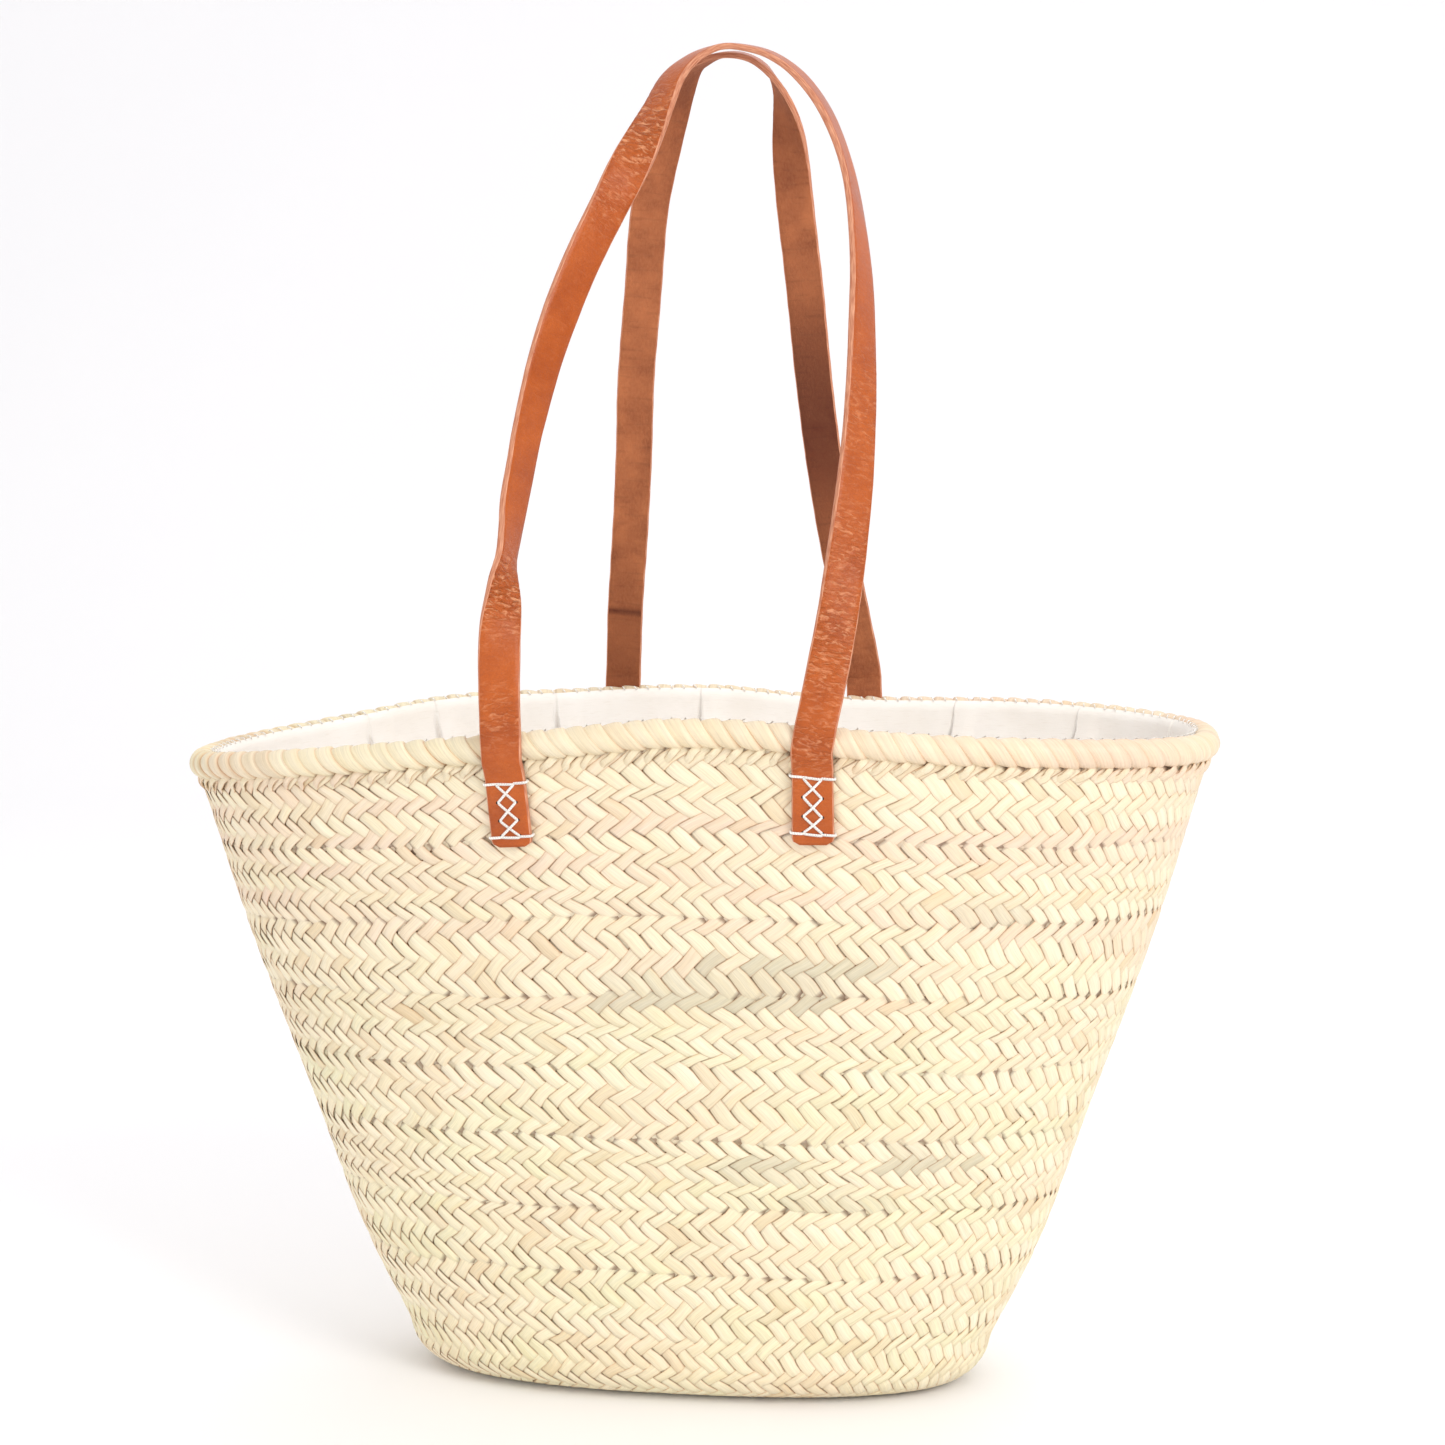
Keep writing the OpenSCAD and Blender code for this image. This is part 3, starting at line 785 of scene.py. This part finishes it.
def rim_wrapping():
    """One long leaf strip wound round the rim, each turn lying over the edge of the one before."""
    rng = np.random.default_rng(7)
    total = RIM_WRAPS * WRAP_STEPS
    step = np.arange(total)
    # The strip's turns change colour on the rim's inner lower side, under the lining
    around = TAU * step / WRAP_STEPS - 0.75 * math.pi
    wrap = step // WRAP_STEPS
    spacing = np.cumsum(1 + 0.3 * (rng.random(RIM_WRAPS) - 0.5))
    spacing = np.concatenate([[0], spacing]) / spacing[-1]
    place = np.interp(step / WRAP_STEPS, np.arange(RIM_WRAPS + 1), spacing)
    pitch = 1 / RIM_WRAPS
    width = np.repeat(0.62 + 0.12 * (rng.random(RIM_WRAPS) - 0.5), WRAP_STEPS)
    lift = np.repeat(0.35 * MM * rng.random(RIM_WRAPS), WRAP_STEPS)
    # Outside the leaf runs down to the right, so the place along the rim falls as the strip climbs
    turn = 1 - place[:, None] - 0.3 * pitch * np.sin(around)[:, None] + WRAP_ACROSS[None] * width[:, None] * pitch
    bulge = lift[:, None] * (1 - WRAP_ACROSS[None] ** 2)
    radius = RIM_R - 0.7 * MM + WRAP_HEIGHT[None] + bulge
    points = rim_point(turn, np.broadcast_to(around[:, None], turn.shape), radius)
    faces = grid_faces(total, len(WRAP_ACROSS), close_rows=True)
    strand = np.repeat(rng.random((RIM_WRAPS, 4)), WRAP_STEPS, 0)
    outside = (wrap * WRAP_STEPS + int(0.4 * WRAP_STEPS)) % total
    shade = leaf_tints(points[outside, 3], turn[:, 3], 41.0, -1, strand[:, ::-1], strand)
    peach = smooth((points[outside, 3, :1] + 0.12) / 0.3)
    shade = shade * (np.array([0.965, 0.96, 0.94, 1.0]) + peach * np.array([0.01, -0.065, -0.055, 0.0]))
    shade = shade * (0.94 + 0.08 * strand[:, 3:])
    tints = np.broadcast_to(shade[:, None], turn.shape + (4,))
    strand = np.broadcast_to(strand[:, None], turn.shape + (4,))
    run = np.broadcast_to((step * TAU * RIM_R / WRAP_STEPS)[:, None], turn.shape)
    leaves = np.stack([np.broadcast_to(WRAP_ACROSS, turn.shape), run, strand[..., 0]], -1)
    piece = new_mesh("rim_leaf_wrapping", points, faces, [LEAF],
                     {"tint": tints.reshape(-1, 4), "leaf": leaves.reshape(-1, 3)})
    return finish_piece(piece, ["rim_wrapping"])


def rim_core():
    """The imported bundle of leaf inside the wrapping."""
    steps, sides, ribs = 360, 24, 8
    turn = (np.arange(steps) / steps)[:, None] + np.zeros(sides)
    around = (TAU * np.arange(sides) / sides)[None] + 0.35 * np.arange(steps)[:, None] / steps * TAU
    radius = RIM_R - 1.9 * MM + 0.35 * MM * np.cos(ribs * TAU * np.arange(sides) / sides)[None] + 0 * turn
    points = rim_point(turn, around, radius)
    leaves = np.stack([np.broadcast_to(np.arange(sides) / sides, turn.shape), turn * 1.2, 0 * turn], -1)
    piece = new_mesh("rim_leaf_bundle", points, grid_faces(steps, sides, True, True)[:, ::-1], [FIBRE],
                     {"leaf": leaves.reshape(-1, 3)})
    return finish_piece(piece, ["rim_core"])


def rim_lashing():
    """A flat strand whipped round the top of the plait, one slanted stitch under each wrap of the rim."""
    per_wrap, sides = 12, 8
    steps = RIM_WRAPS * per_wrap
    rng = np.random.default_rng(11)
    turn = np.arange(steps) / steps
    phase = TAU * np.arange(steps) / per_wrap
    each = np.repeat(rng.random((RIM_WRAPS, 4)), per_wrap, 0)
    along = turn + (0.14 * np.sin(phase) + 0.2 * (each[:, 0] - 0.5)) / RIM_WRAPS
    inset = 1.35 * MM - 2.15 * MM * np.cos(phase)
    z = WALL_TOP - 2.3 * MM + (2.9 + 0.7 * each[:, 1]) * MM * np.sin(phase)
    line = shell(inset, z, angle_at(along, np.full(steps, WALL_TOP)))
    verts, faces = tube(line, (1.6 + 0.4 * each[:, 2]) * MM, sides, rim_line(turn)[1], closed=True, flat=0.36)
    tint = leaf_tints(line, turn, 40.0, 1, each, each)
    leaves = np.stack([np.tile(np.cos(np.arange(sides) * TAU / sides), steps), np.repeat(turn * 1.9, sides),
                       np.repeat(each[:, 3], sides)], -1)
    piece = new_mesh("rim_leaf_lashing", verts, faces, [LEAF], {"tint": np.repeat(tint, sides, 0), "leaf": leaves})
    return finish_piece(piece, ["rim_lashing"])


rim_wrapping()
rim_core()
rim_lashing()


# ---- Lining ----

LINING_DEPTH = WALL_T + 1.0 * MM
LINING_COLUMNS = 900
# Knife pleats that take up the lining's fullness: x where each stands on the back and on the front wall
BACK_PLEATS = [-213, -166, -95, -14, 128, 209]
FRONT_PLEATS = [-205, -150, -82, -20, 48, 118, 176]
END_PLEATS = [(232, 40), (238, 8), (232, -34), (-236, 25), (-238, -20)]


def lining_profile():
    """Insets, heights and runs down the lining's face, from its sewn top edge over the rim down to the foot."""
    over = RIM_R + 0.3 * MM + 0.5 * MM
    rolled = [(RIM_INSET + over * math.cos(t), RIM_Z + over * math.sin(t))
              for t in np.radians(np.linspace(48, 0, 6))]
    heights = np.concatenate([np.linspace(RIM_Z - 6 * MM, RIM_Z - 90 * MM, 14), np.linspace(0.22, FOOT_R + 4 * MM, 9)])
    hang = smooth(1 - (RIM_Z - heights) / (90 * MM))
    wall = [(LINING_DEPTH + (RIM_INSET + over - LINING_DEPTH) * h, z) for h, z in zip(hang, heights)]
    r = FOOT_R - LINING_DEPTH
    foot = [(FOOT_R - r * math.sin(t), FOOT_R - r * math.cos(t)) for t in np.linspace(math.pi / 2, 0, 7)]
    points = np.array(rolled + wall + foot)
    steps = np.linalg.norm(np.diff(points, axis=0), axis=1)
    return points[:, 0], points[:, 1], np.concatenate([[0], np.cumsum(steps)])


def turn_of(x, y):
    """The turn round the rim nearest to a place in plan."""
    turns = np.linspace(0, 1, 2000, endpoint=False)
    ring = wall_point(turns, np.full(len(turns), run_at(WALL_TOP)))
    return turns[np.argmin((ring[:, 0] - x) ** 2 + (ring[:, 1] - y) ** 2)]


def lining_wall():
    inset, z, run = lining_profile()
    pleats = [turn_of(x * MM, 119 * MM) for x in BACK_PLEATS] + [turn_of(x * MM, -119 * MM) for x in FRONT_PLEATS] \
        + [turn_of(x * MM, y * MM) for x, y in END_PLEATS]
    ring_length = 1.22
    close = np.array([-7.5, -6.6, -0.9, -0.4, 0.1, 0.6, 1.2, 1.9, 2.6]) * MM / ring_length
    turn = np.concatenate([np.arange(LINING_COLUMNS) / LINING_COLUMNS] + [(at + close) % 1 for at in pleats])
    turn = np.unique(np.round(turn, 6))
    fold = np.zeros(len(turn))
    pleat_shade = np.zeros(len(turn))
    for i, at in enumerate(pleats):
        away = ((turn - at + 0.5) % 1 - 0.5) * ring_length
        height = (3.4 + 0.8 * math.sin(7.0 * i)) * MM
        # Seen from inside, a flat band 6 mm wide stands proud and drops sharply at its left edge
        side = 1 if i < len(BACK_PLEATS) else -1
        away = away * side
        # Painted shade: a warm grey line along the sharp drop at each pleat's edge
        pleat_shade += 0.8 * bell(away, 0.7 * MM, 0.9 * MM)
        fold += height * (smooth(1 - away / (0.7 * MM)) * (away > 0) + (away <= 0) * smooth(1 + (away + 5 * MM) / (9 * MM)))
    t = TAU * turn
    waves = 1.3 * np.sin(9 * t + 0.4) + 0.9 * np.sin(21 * t + 1.1) + 0.5 * np.sin(47 * t + 2.0)
    down = (z.max() - z) / z.max()
    share = np.clip((run - 9 * MM) / (28 * MM), 0, 1)
    fade = share * np.clip(z / (60 * MM), 0.25, 1)
    sway = np.sin(5 * t[None] + 6 * down[:, None]) + 0.6 * np.sin(14 * t[None] - 9 * down[:, None])
    depth = fold[None] * (0.25 + 0.75 * share[:, None]) * (1 - 0.35 * down[:, None])
    depth = depth + (1.5 + waves[None] * 0.55 + 0.7 * sway) * MM * fade[:, None]
    levels = np.broadcast_to(z[:, None], depth.shape)
    angle = angle_at(np.broadcast_to(turn[None], depth.shape), np.minimum(levels, WALL_TOP))
    points = shell(inset[:, None] + depth, levels, angle)
    cloth = np.stack([np.broadcast_to(turn[None] * ring_length, depth.shape),
                      np.broadcast_to(run[:, None], depth.shape), pleat_shade[None] * share[:, None] + 0 * depth], -1)
    piece = new_mesh("cotton_lining", points, grid_faces(len(z), len(turn), close_columns=True), [COTTON],
                     {"cloth": cloth.reshape(-1, 3)})
    return finish_piece(piece, ["lining_wall"])


def lining_base():
    """The lining's flat bottom, a little rumpled."""
    rings, columns = 14, 120
    share = np.linspace(0.02, 1, rings)
    turn = np.arange(columns) / columns
    edge = wall_point(turn, np.full(columns, 0.0))
    x = edge[None, :, 0] * share[:, None]
    y = edge[None, :, 1] * share[:, None]
    rumple = np.sin(x * 70 + 1.0) * np.sin(y * 95 + 0.5) + 0.5 * np.sin(x * 170 + y * 120)
    z = WALL_T + 1.1 * MM + 0.5 * MM * (1 + rumple) * (1 - share[:, None] ** 4)
    points = np.stack([x, y, z], -1).reshape(-1, 3)
    faces = [list(f) for f in grid_faces(rings, columns, close_columns=True)] + [list(range(columns))[::-1]]
    cloth = points * np.array([1, 1, 0])
    piece = new_mesh("cotton_lining_base", points, faces, [COTTON], {"cloth": cloth})
    return finish_piece(piece, ["lining_base"])


def lining_stitches():
    """Whip stitches that hold the lining's top edge to the rim."""
    parts, leaves, sides = [], [], 5
    count = 190
    rng = np.random.default_rng(5)
    for i in range(count):
        lean = 0.0011 * (1 + 0.5 * rng.random())
        share = np.linspace(0, 1, 6)
        around = math.pi - np.radians(39 + 20 * share + 4 * rng.random())
        turn = i / count + lean * share
        lift = RIM_R + 1.1 * MM + 0.5 * MM * np.sin(math.pi * share)
        line = rim_point(turn, around, lift)
        verts, faces = tube(line, 0.32 * MM, sides, (0.3, 0.2, 1))
        parts.append((verts, faces))
        leaves.append(np.stack([np.tile(np.arange(sides) * TAU / sides, 6), np.repeat(share * 2 * MM, sides),
                                np.zeros(6 * sides)], -1))
    points, faces = joined(parts)
    piece = new_mesh("lining_whip_stitches", points, faces, [THREAD], {"leaf": np.concatenate(leaves)})
    return finish_piece(piece, [])


lining = lining_wall()
lining_floor = lining_base()
whip_stitches = lining_stitches()


# ---- Straps ----

# Each strap's route in the plane of its loop: across, up from its fold line (mm) and the turn of its grain face
FRONT_ROUTE = [
    (-72, 0, 0), (-74, 24, -6), (-75, 45, -16), (-75, 56, -28), (-74.5, 66, -44), (-74.5, 76, -62),
    (-74, 86, -79), (-73, 98, -76), (-72, 112, -68), (-70, 128, -66), (-67, 151, -61), (-60, 188, -52),
    (-49, 226, -46), (-35, 262, -38), (-24, 289, 2), (-16, 310, 30), (-10, 326, 42), (-2, 335.5, 52),
    (6, 340.5, 58), (16, 343, 62), (30, 340.5, 62), (41, 335, 64), (52, 325, 67), (63.5, 308, 72),
    (73, 285, 77), (79, 261, 76), (83.5, 227, 68), (85, 194, 60), (85.5, 162, 51), (84.5, 129, 43),
    (82, 97, 34), (78, 60, 20), (73, 28, 8), (68, 0, 0),
]
BACK_ROUTE = [
    (-59, 0, 0), (-57, 26, 0), (-55, 51, 2), (-50, 95, 4), (-46, 135, 6), (-42.5, 176, 6),
    (-36, 223, 8), (-30, 265, 14), (-20, 300, 34), (-7, 331, 66), (2, 339, 76), (13, 342, 80),
    (24, 340, 80), (33, 333, 80), (38.5, 322, 66), (41, 307, 40), (42, 288, 16), (43.5, 262, 6),
    (46.5, 223, 4), (49.5, 176, 4), (54, 128, 3), (60, 84, 2), (66, 49, 1), (71, 20, 0), (73, 0, 0),
]
RING_STEP = 1.6 * MM
# Cross-section of the strap in half widths and half thicknesses, round from its flesh side's left corner
SECTION_SIDE = np.linspace(-0.93, 0.93, 9)
SECTION = np.array(
    [(s, -1.0) for s in SECTION_SIDE] + [(0.985, -0.72), (1.0, 0.0), (0.985, 0.68)]
    + [(s, 1.0) for s in SECTION_SIDE[::-1]] + [(-0.985, 0.68), (-1.0, 0.0), (-0.985, -0.72)]
)
EDGE_POINTS = 3


def catmull(points, steps):
    """A smooth curve through the points."""
    points = np.asarray(points, float)
    padded = np.vstack([2 * points[0] - points[1], points, 2 * points[-1] - points[-2]])
    curve = []
    for a, b, c, d in zip(padded, padded[1:], padded[2:], padded[3:]):
        for t in np.arange(steps) / steps:
            curve.append(0.5 * (2 * b + (c - a) * t + (2 * a - 5 * b + 4 * c - d) * t ** 2
                                + (3 * b - a - 3 * c + d) * t ** 3))
    return np.array(curve + [points[-1]])


def unit_rows(v):
    return v / np.linalg.norm(v, axis=-1, keepdims=True)


def loop_line(route, side, pivot):
    """Middle line and grain direction of a strap's loop, leant in until its top meets the middle plane."""
    route = np.array(route, float) * (MM, MM, math.pi / 180)
    curve = catmull(route, 8)
    top = route[:, 1].max()
    bow = -LOOP_BOW * np.sin(math.pi * np.clip(curve[:, 1] / top, 0, 1))
    points = np.stack([curve[:, 0], bow, curve[:, 1]], -1)
    along = frames_along(points)
    arch_out = unit_rows(np.cross(np.array([0.0, -1.0, 0.0]), along))
    plane_out = np.cross(along, arch_out)
    grain = plane_out * np.cos(curve[:, 2:]) + arch_out * np.sin(curve[:, 2:])
    lean = math.asin((abs(pivot[1]) - STRAP_W / 2 - 0.5 * MM) / top)
    c, s = math.cos(lean), math.sin(lean)

    def placed(v):
        y, z = v[:, 1] * c + v[:, 2] * s, v[:, 2] * c - v[:, 1] * s
        return np.stack([v[:, 0], -side * y, z], -1)

    return placed(points) + np.array([0, pivot[1], pivot[2]]), placed(grain)


def tab_place(x, side, tilt, level, inset=-0.3 * MM):
    """Middle of a sewn end at a level below the rim, with its directions across, up and out of the basket."""
    z = RIM_Z + level
    at = x + tilt * (level + 12 * MM)
    across = face_point(at + MM, inset, z, side) - face_point(at - MM, inset, z, side)
    up = face_point(at, inset, z + MM, side) - face_point(at, inset, z - MM, side)
    out = unit_rows(np.cross(across, up)) * -side
    return face_point(at, inset - STRAP_T / 2, z, side), unit_rows(across), unit_rows(up), out


def sewn_line(x, side, tilt):
    """Middle line and grain direction of a sewn end, from its tip up to just below the fold line."""
    rest_out = RIM_INSET - RIM_R - 0.3 * MM
    levels = [(-46.5, -0.3), (-38, -0.3), (-30, -0.3), (-22, -0.3), (-16, -0.4), (-12, -1.1), (-8, -2.5), (-4, -3.9)]
    places = [tab_place(x, side, tilt, level * MM, max(inner * MM, rest_out)) for level, inner in levels]
    return np.array([place[0] for place in places]), np.array([place[3] for place in places])


def strap_line(route, side, pivot, lean_ends):
    """The whole strap's middle line and grain direction, from one sewn tip to the other, at even steps."""
    loop, loop_grain = loop_line(route, side, pivot)
    clear_of_fold = (loop[:, 2] - pivot[2]) > 9 * MM
    left, left_grain = sewn_line(route[0][0] * MM, side, lean_ends[0])
    right, right_grain = sewn_line(route[-1][0] * MM, side, lean_ends[1])
    points = np.vstack([left, loop[clear_of_fold], right[::-1]])
    grain = np.vstack([left_grain, loop_grain[clear_of_fold], right_grain[::-1]])
    both = catmull(np.hstack([points, grain]), 6)
    run = np.concatenate([[0], np.cumsum(np.linalg.norm(np.diff(both[:, :3], axis=0), axis=1))])
    even = np.linspace(0, run[-1], int(run[-1] / RING_STEP))
    points = np.stack([np.interp(even, run, both[:, i]) for i in range(3)], -1)
    grain = np.stack([np.interp(even, run, both[:, i]) for i in range(3, 6)], -1)
    return points, grain, even


def crease_mask(run, zones):
    """How strongly the strap is creased or darkened along its run, in zones of a middle, half width and strength."""
    mask = np.full(len(run), 0.06)
    for middle, width, strength in zones:
        mask = np.maximum(mask, strength * bell(run, middle * MM, width * MM))
    return mask


def strap(name, body, route, side, zones, darkening, lean_ends, seed):
    joint = JOINTS[body]
    pivot = np.array(joint["pos_m"], float)
    points, grain, run = strap_line(route, side, pivot, lean_ends)
    rng = np.random.default_rng(seed)
    along = frames_along(points)
    across = unit_rows(np.cross(along, grain))
    grain = np.cross(across, along)
    crease = crease_mask(run, zones)
    stain = crease_mask(run, darkening)
    length = run[-1]
    # The tips are cut with rounded corners
    from_tip = np.minimum(run, length - run)
    corner = 3.2 * MM
    round_off = np.where(from_tip < corner, 1 - np.sqrt(np.clip(1 - (1 - from_tip / corner) ** 2, 0, 1)), 0)
    wobble = sum(rng.random() * np.sin(TAU * run / wave + TAU * rng.random())
                 for wave in (0.19, 0.083, 0.041, 0.017)) * 0.07 * MM
    half = STRAP_W / 2 + wobble - round_off * corner
    away = smooth(from_tip / (70 * MM))
    thick = STRAP_T / 2 * (1 - 0.07 * away * np.sin(TAU * run / 0.11 + seed)) * np.where(from_tip < 0.8 * MM, 0.86, 1)
    s, t = SECTION[:, 0], SECTION[:, 1]
    phases = TAU * rng.random(8)
    ripple = np.zeros((len(run), len(SECTION)))
    for i, wave in enumerate((3.1, 4.3, 5.9, 2.4)):
        slant = 0.9 * math.sin(phases[i])
        ripple += np.sin(TAU * (run[:, None] / MM + slant * s[None] * 3) / wave + phases[i + 4] + 2 * s[None])
    ripple *= 0.075 * MM * crease[:, None] * np.sign(t)[None] * (np.abs(t) > 0.9)
    crown = 0.16 * MM * (1 - s ** 2) * (t > 0.9)
    verts = points[:, None] + across[:, None] * (s[None] * half[:, None])[..., None] \
        + grain[:, None] * (t[None] * thick[:, None] + ripple + crown[None])[..., None]
    rings, sides = len(run), len(SECTION)
    faces = [list(f) for f in grid_faces(rings, sides, close_columns=True)]
    faces += [list(range(sides))[::-1], list(range((rings - 1) * sides, rings * sides))]
    face_n = len(SECTION_SIDE)
    kind = np.full(sides, 2)
    kind[:face_n - 1] = 1
    kind[face_n + EDGE_POINTS:2 * face_n + EDGE_POINTS - 1] = 0
    slots = np.concatenate([np.tile(kind, rings - 1), [2, 2]])
    place = np.stack([np.broadcast_to(s * STRAP_W / 2, (rings, sides)),
                      np.broadcast_to(run[:, None], (rings, sides)),
                      np.broadcast_to(t * STRAP_T / 2, (rings, sides))], -1)
    piece = new_mesh(name, verts, faces, [GRAIN, FLESH, EDGE],
                     {"strap": place.reshape(-1, 3), "crease": np.repeat(crease, sides),
                      "stain": np.repeat(stain, sides)}, slots)
    legs = [leg for leg in LEGS if leg.startswith(name.split("_")[0])]
    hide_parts(f"{body}_loop", *[f"sewn_end_{leg}" for leg in legs])
    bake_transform(piece)
    return points


FRONT_CREASES = [(62, 14, 0.5), (118, 17, 1.0), (353, 24, 1.0), (322, 24, 0.45), (640, 40, 0.35), (700, 24, 0.55),
                 (742, 34, 0.8), (790, 16, 0.6)]
BACK_DARKENING = [(60, 55, 0.5), (96, 2.5, 1.0), (470, 45, 0.35), (615, 75, 1.0)]
BACK_CREASES = [(60, 14, 0.4), (335, 40, 0.5), (470, 40, 0.5), (700, 50, 0.3), (760, 16, 0.7)]
TAB_TILT = {"front_left": -0.075, "front_right": 0.0, "back_left": 0.0, "back_right": 0.0}
strap("front_leather_strap", "front_strap", FRONT_ROUTE, -1, FRONT_CREASES, [], (TAB_TILT["front_left"], TAB_TILT["front_right"]), 21)
strap("back_leather_strap", "back_strap", BACK_ROUTE, 1, BACK_CREASES, BACK_DARKENING, (TAB_TILT["back_left"], TAB_TILT["back_right"]), 22)



# ---- Stitches that hold the straps' ends ----

def tab_stitches(leg, x, side):
    """Three crosses of thread between a top and a bottom bar, whose ends go round the strap's edges."""
    tilt = TAB_TILT[leg]
    rng = np.random.default_rng(len(leg) + 3 * side + int(abs(x) / MM))

    def at(across, level, out):
        middle, over, up, away = tab_place(x, side, tilt, level)
        return middle + over * across + away * (STRAP_T / 2 + out)

    def stitch(start, end, lift):
        """From one hole over the leather to the next. Places are (across, level)."""
        share = np.array([0, 0.03, 0.12, 0.5, 0.88, 0.97, 1])
        out = np.array([-0.9, -0.1, 0.42, 0.5 + lift, 0.42, -0.1, -0.9]) * MM
        return np.array([at(*(np.array(start) * (1 - t) + np.array(end) * t), o) for t, o in zip(share, out)])

    def edge_stitch(hole, level):
        """From a hole out over the strap's edge and down to the plait."""
        way = 1 if hole > 0 else -1
        places = [(abs(hole), -0.9), (abs(hole) + 0.4 * MM, 0.2), (7 * MM, 0.5), (9.3 * MM, 0.35), (10 * MM, -0.4),
                  (10.1 * MM, -1.6), (9.9 * MM, -3.2)]
        return np.array([at(way * across, level, out * MM) for across, out in places])

    holes = [[(way * STITCH_HALF_W, level + 0.25 * MM * (rng.random() - 0.5)) for way in (-1, 1)]
             for level in STITCH_ROWS]
    lines = []
    for upper, lower in zip(holes, holes[1:]):
        lines += [stitch(upper[0], lower[1], 0.0), stitch(upper[1], lower[0], 0.85)]
    for row, shift in ((holes[0], 0.5), (holes[-1], -0.5)):
        bar = [(across, level + shift * MM) for across, level in row]
        lines.append(stitch(bar[0], (bar[1][0], bar[1][1] - 0.5 * MM), 0.1))
        lines += [edge_stitch(across, level) for across, level in bar]
    parts, leaves, sides = [], [], 8
    for line in lines:
        curve = catmull(line, 4)
        verts, faces = tube(curve, 0.62 * MM, sides, (0.31, 0.05, 1.0))
        run = np.concatenate([[0], np.cumsum(np.linalg.norm(np.diff(curve, axis=0), axis=1))])
        parts.append((verts, faces))
        leaves.append(np.stack([np.tile(np.arange(sides) * TAU / sides, len(curve)), np.repeat(run, sides),
                                np.zeros(len(verts))], -1))
    points, faces = joined(parts)
    threads = new_mesh(f"{leg}_thread", points, faces, [THREAD], {"leaf": np.concatenate(leaves)})
    finish_piece(threads, [f"stitches_{leg}"])
    # Painted shade: a dark disc at each hole stands for the shade inside it
    rims = []
    for row in holes:
        for across, level in row:
            spot = across * 1.06
            line = np.array([at(spot, level, out * MM) for out in (-0.5, -0.1, 0.2)])
            rims.append(tube(line, 0.72 * MM, 12, (0.3, 0.0, 1.0)))
    points, faces = joined(rims)
    finish_piece(new_mesh(f"{leg}_stitch_holes", points, faces, [HOLE], smooth_faces=False), [])


for leg, route, side in (("front_left", FRONT_ROUTE, -1), ("front_right", FRONT_ROUTE, -1),
                         ("back_left", BACK_ROUTE, 1), ("back_right", BACK_ROUTE, 1)):
    tab_stitches(leg, (route[0] if leg.endswith("left") else route[-1])[0] * MM, side)


# ---- Camera, floor and light ----

FLOOR_HALF = 12.0


def studio():
    """A pale floor that curves up into a pale backdrop."""
    across = np.linspace(-FLOOR_HALF, FLOOR_HALF, 9)
    bend = np.linspace(0, math.pi / 2, 13)
    profile = [(-14.0, 0.0), (-1.0, 0.0), (1.6, 0.0)] \
        + [(1.8 + 1.2 * math.sin(t), 1.2 * (1 - math.cos(t))) for t in bend] + [(3.0, 6.0)]
    points = [(x, y, z) for y, z in profile for x in across]
    surface = Surface("studio_floor", roughness=0.95)
    tone = surface.noise(surface.position(), 1.5, 2.0)
    surface.put(surface.shader.inputs["Base Color"], surface.mix(tone, srgb(246, 245, 247), srgb(249, 248, 249)))
    floor = new_mesh("studio_floor", points, grid_faces(len(profile), len(across)), [surface.material])


def area_light(name, place, target, size, power, colour=(1, 1, 1)):
    light = bpy.data.lights.new(name, "AREA")
    light.shape = "RECTANGLE"
    light.size, light.size_y = size
    light.energy = power
    light.color = colour
    lamp = bpy.data.objects.new(name, light)
    lamp.location = place
    lamp.rotation_euler = (Vector(target) - Vector(place)).to_track_quat("-Z", "Y").to_euler()
    bpy.context.scene.collection.objects.link(lamp)


def light_scene():
    world = bpy.data.worlds.new("studio")
    bpy.context.scene.world = world
    world.use_nodes = True
    background = world.node_tree.nodes["Background"]
    background.inputs["Color"].default_value = (1.0, 1.0, 1.0, 1)
    background.inputs["Strength"].default_value = 0.9
    area_light("key", (1.7, -1.7, 1.7), (0, 0, 0.2), (1.1, 1.1), 31, (1.0, 0.99, 0.97))
    area_light("fill", (-1.3, -2.2, 0.7), (0, 0, 0.1), (1.8, 1.2), 8, (0.98, 0.99, 1.0))
    area_light("top", (0.2, 0.9, 2.4), (0, 0, 0.3), (2.2, 1.4), 12)


def add_camera():
    camera = bpy.data.cameras.new("camera")
    camera.lens = 65.8
    camera.sensor_width = 36
    camera.clip_end = 50
    view = bpy.data.objects.new("camera", camera)
    view.location = (0.180, -1.283, 0.464)
    target = Vector((0.012, 0.0, 0.326))
    view.rotation_euler = (target - view.location).to_track_quat("-Z", "Y").to_euler()
    bpy.context.scene.collection.objects.link(view)
    bpy.context.scene.camera = view
    bpy.context.scene.view_settings.view_transform = "Standard"


studio()
light_scene()
add_camera()
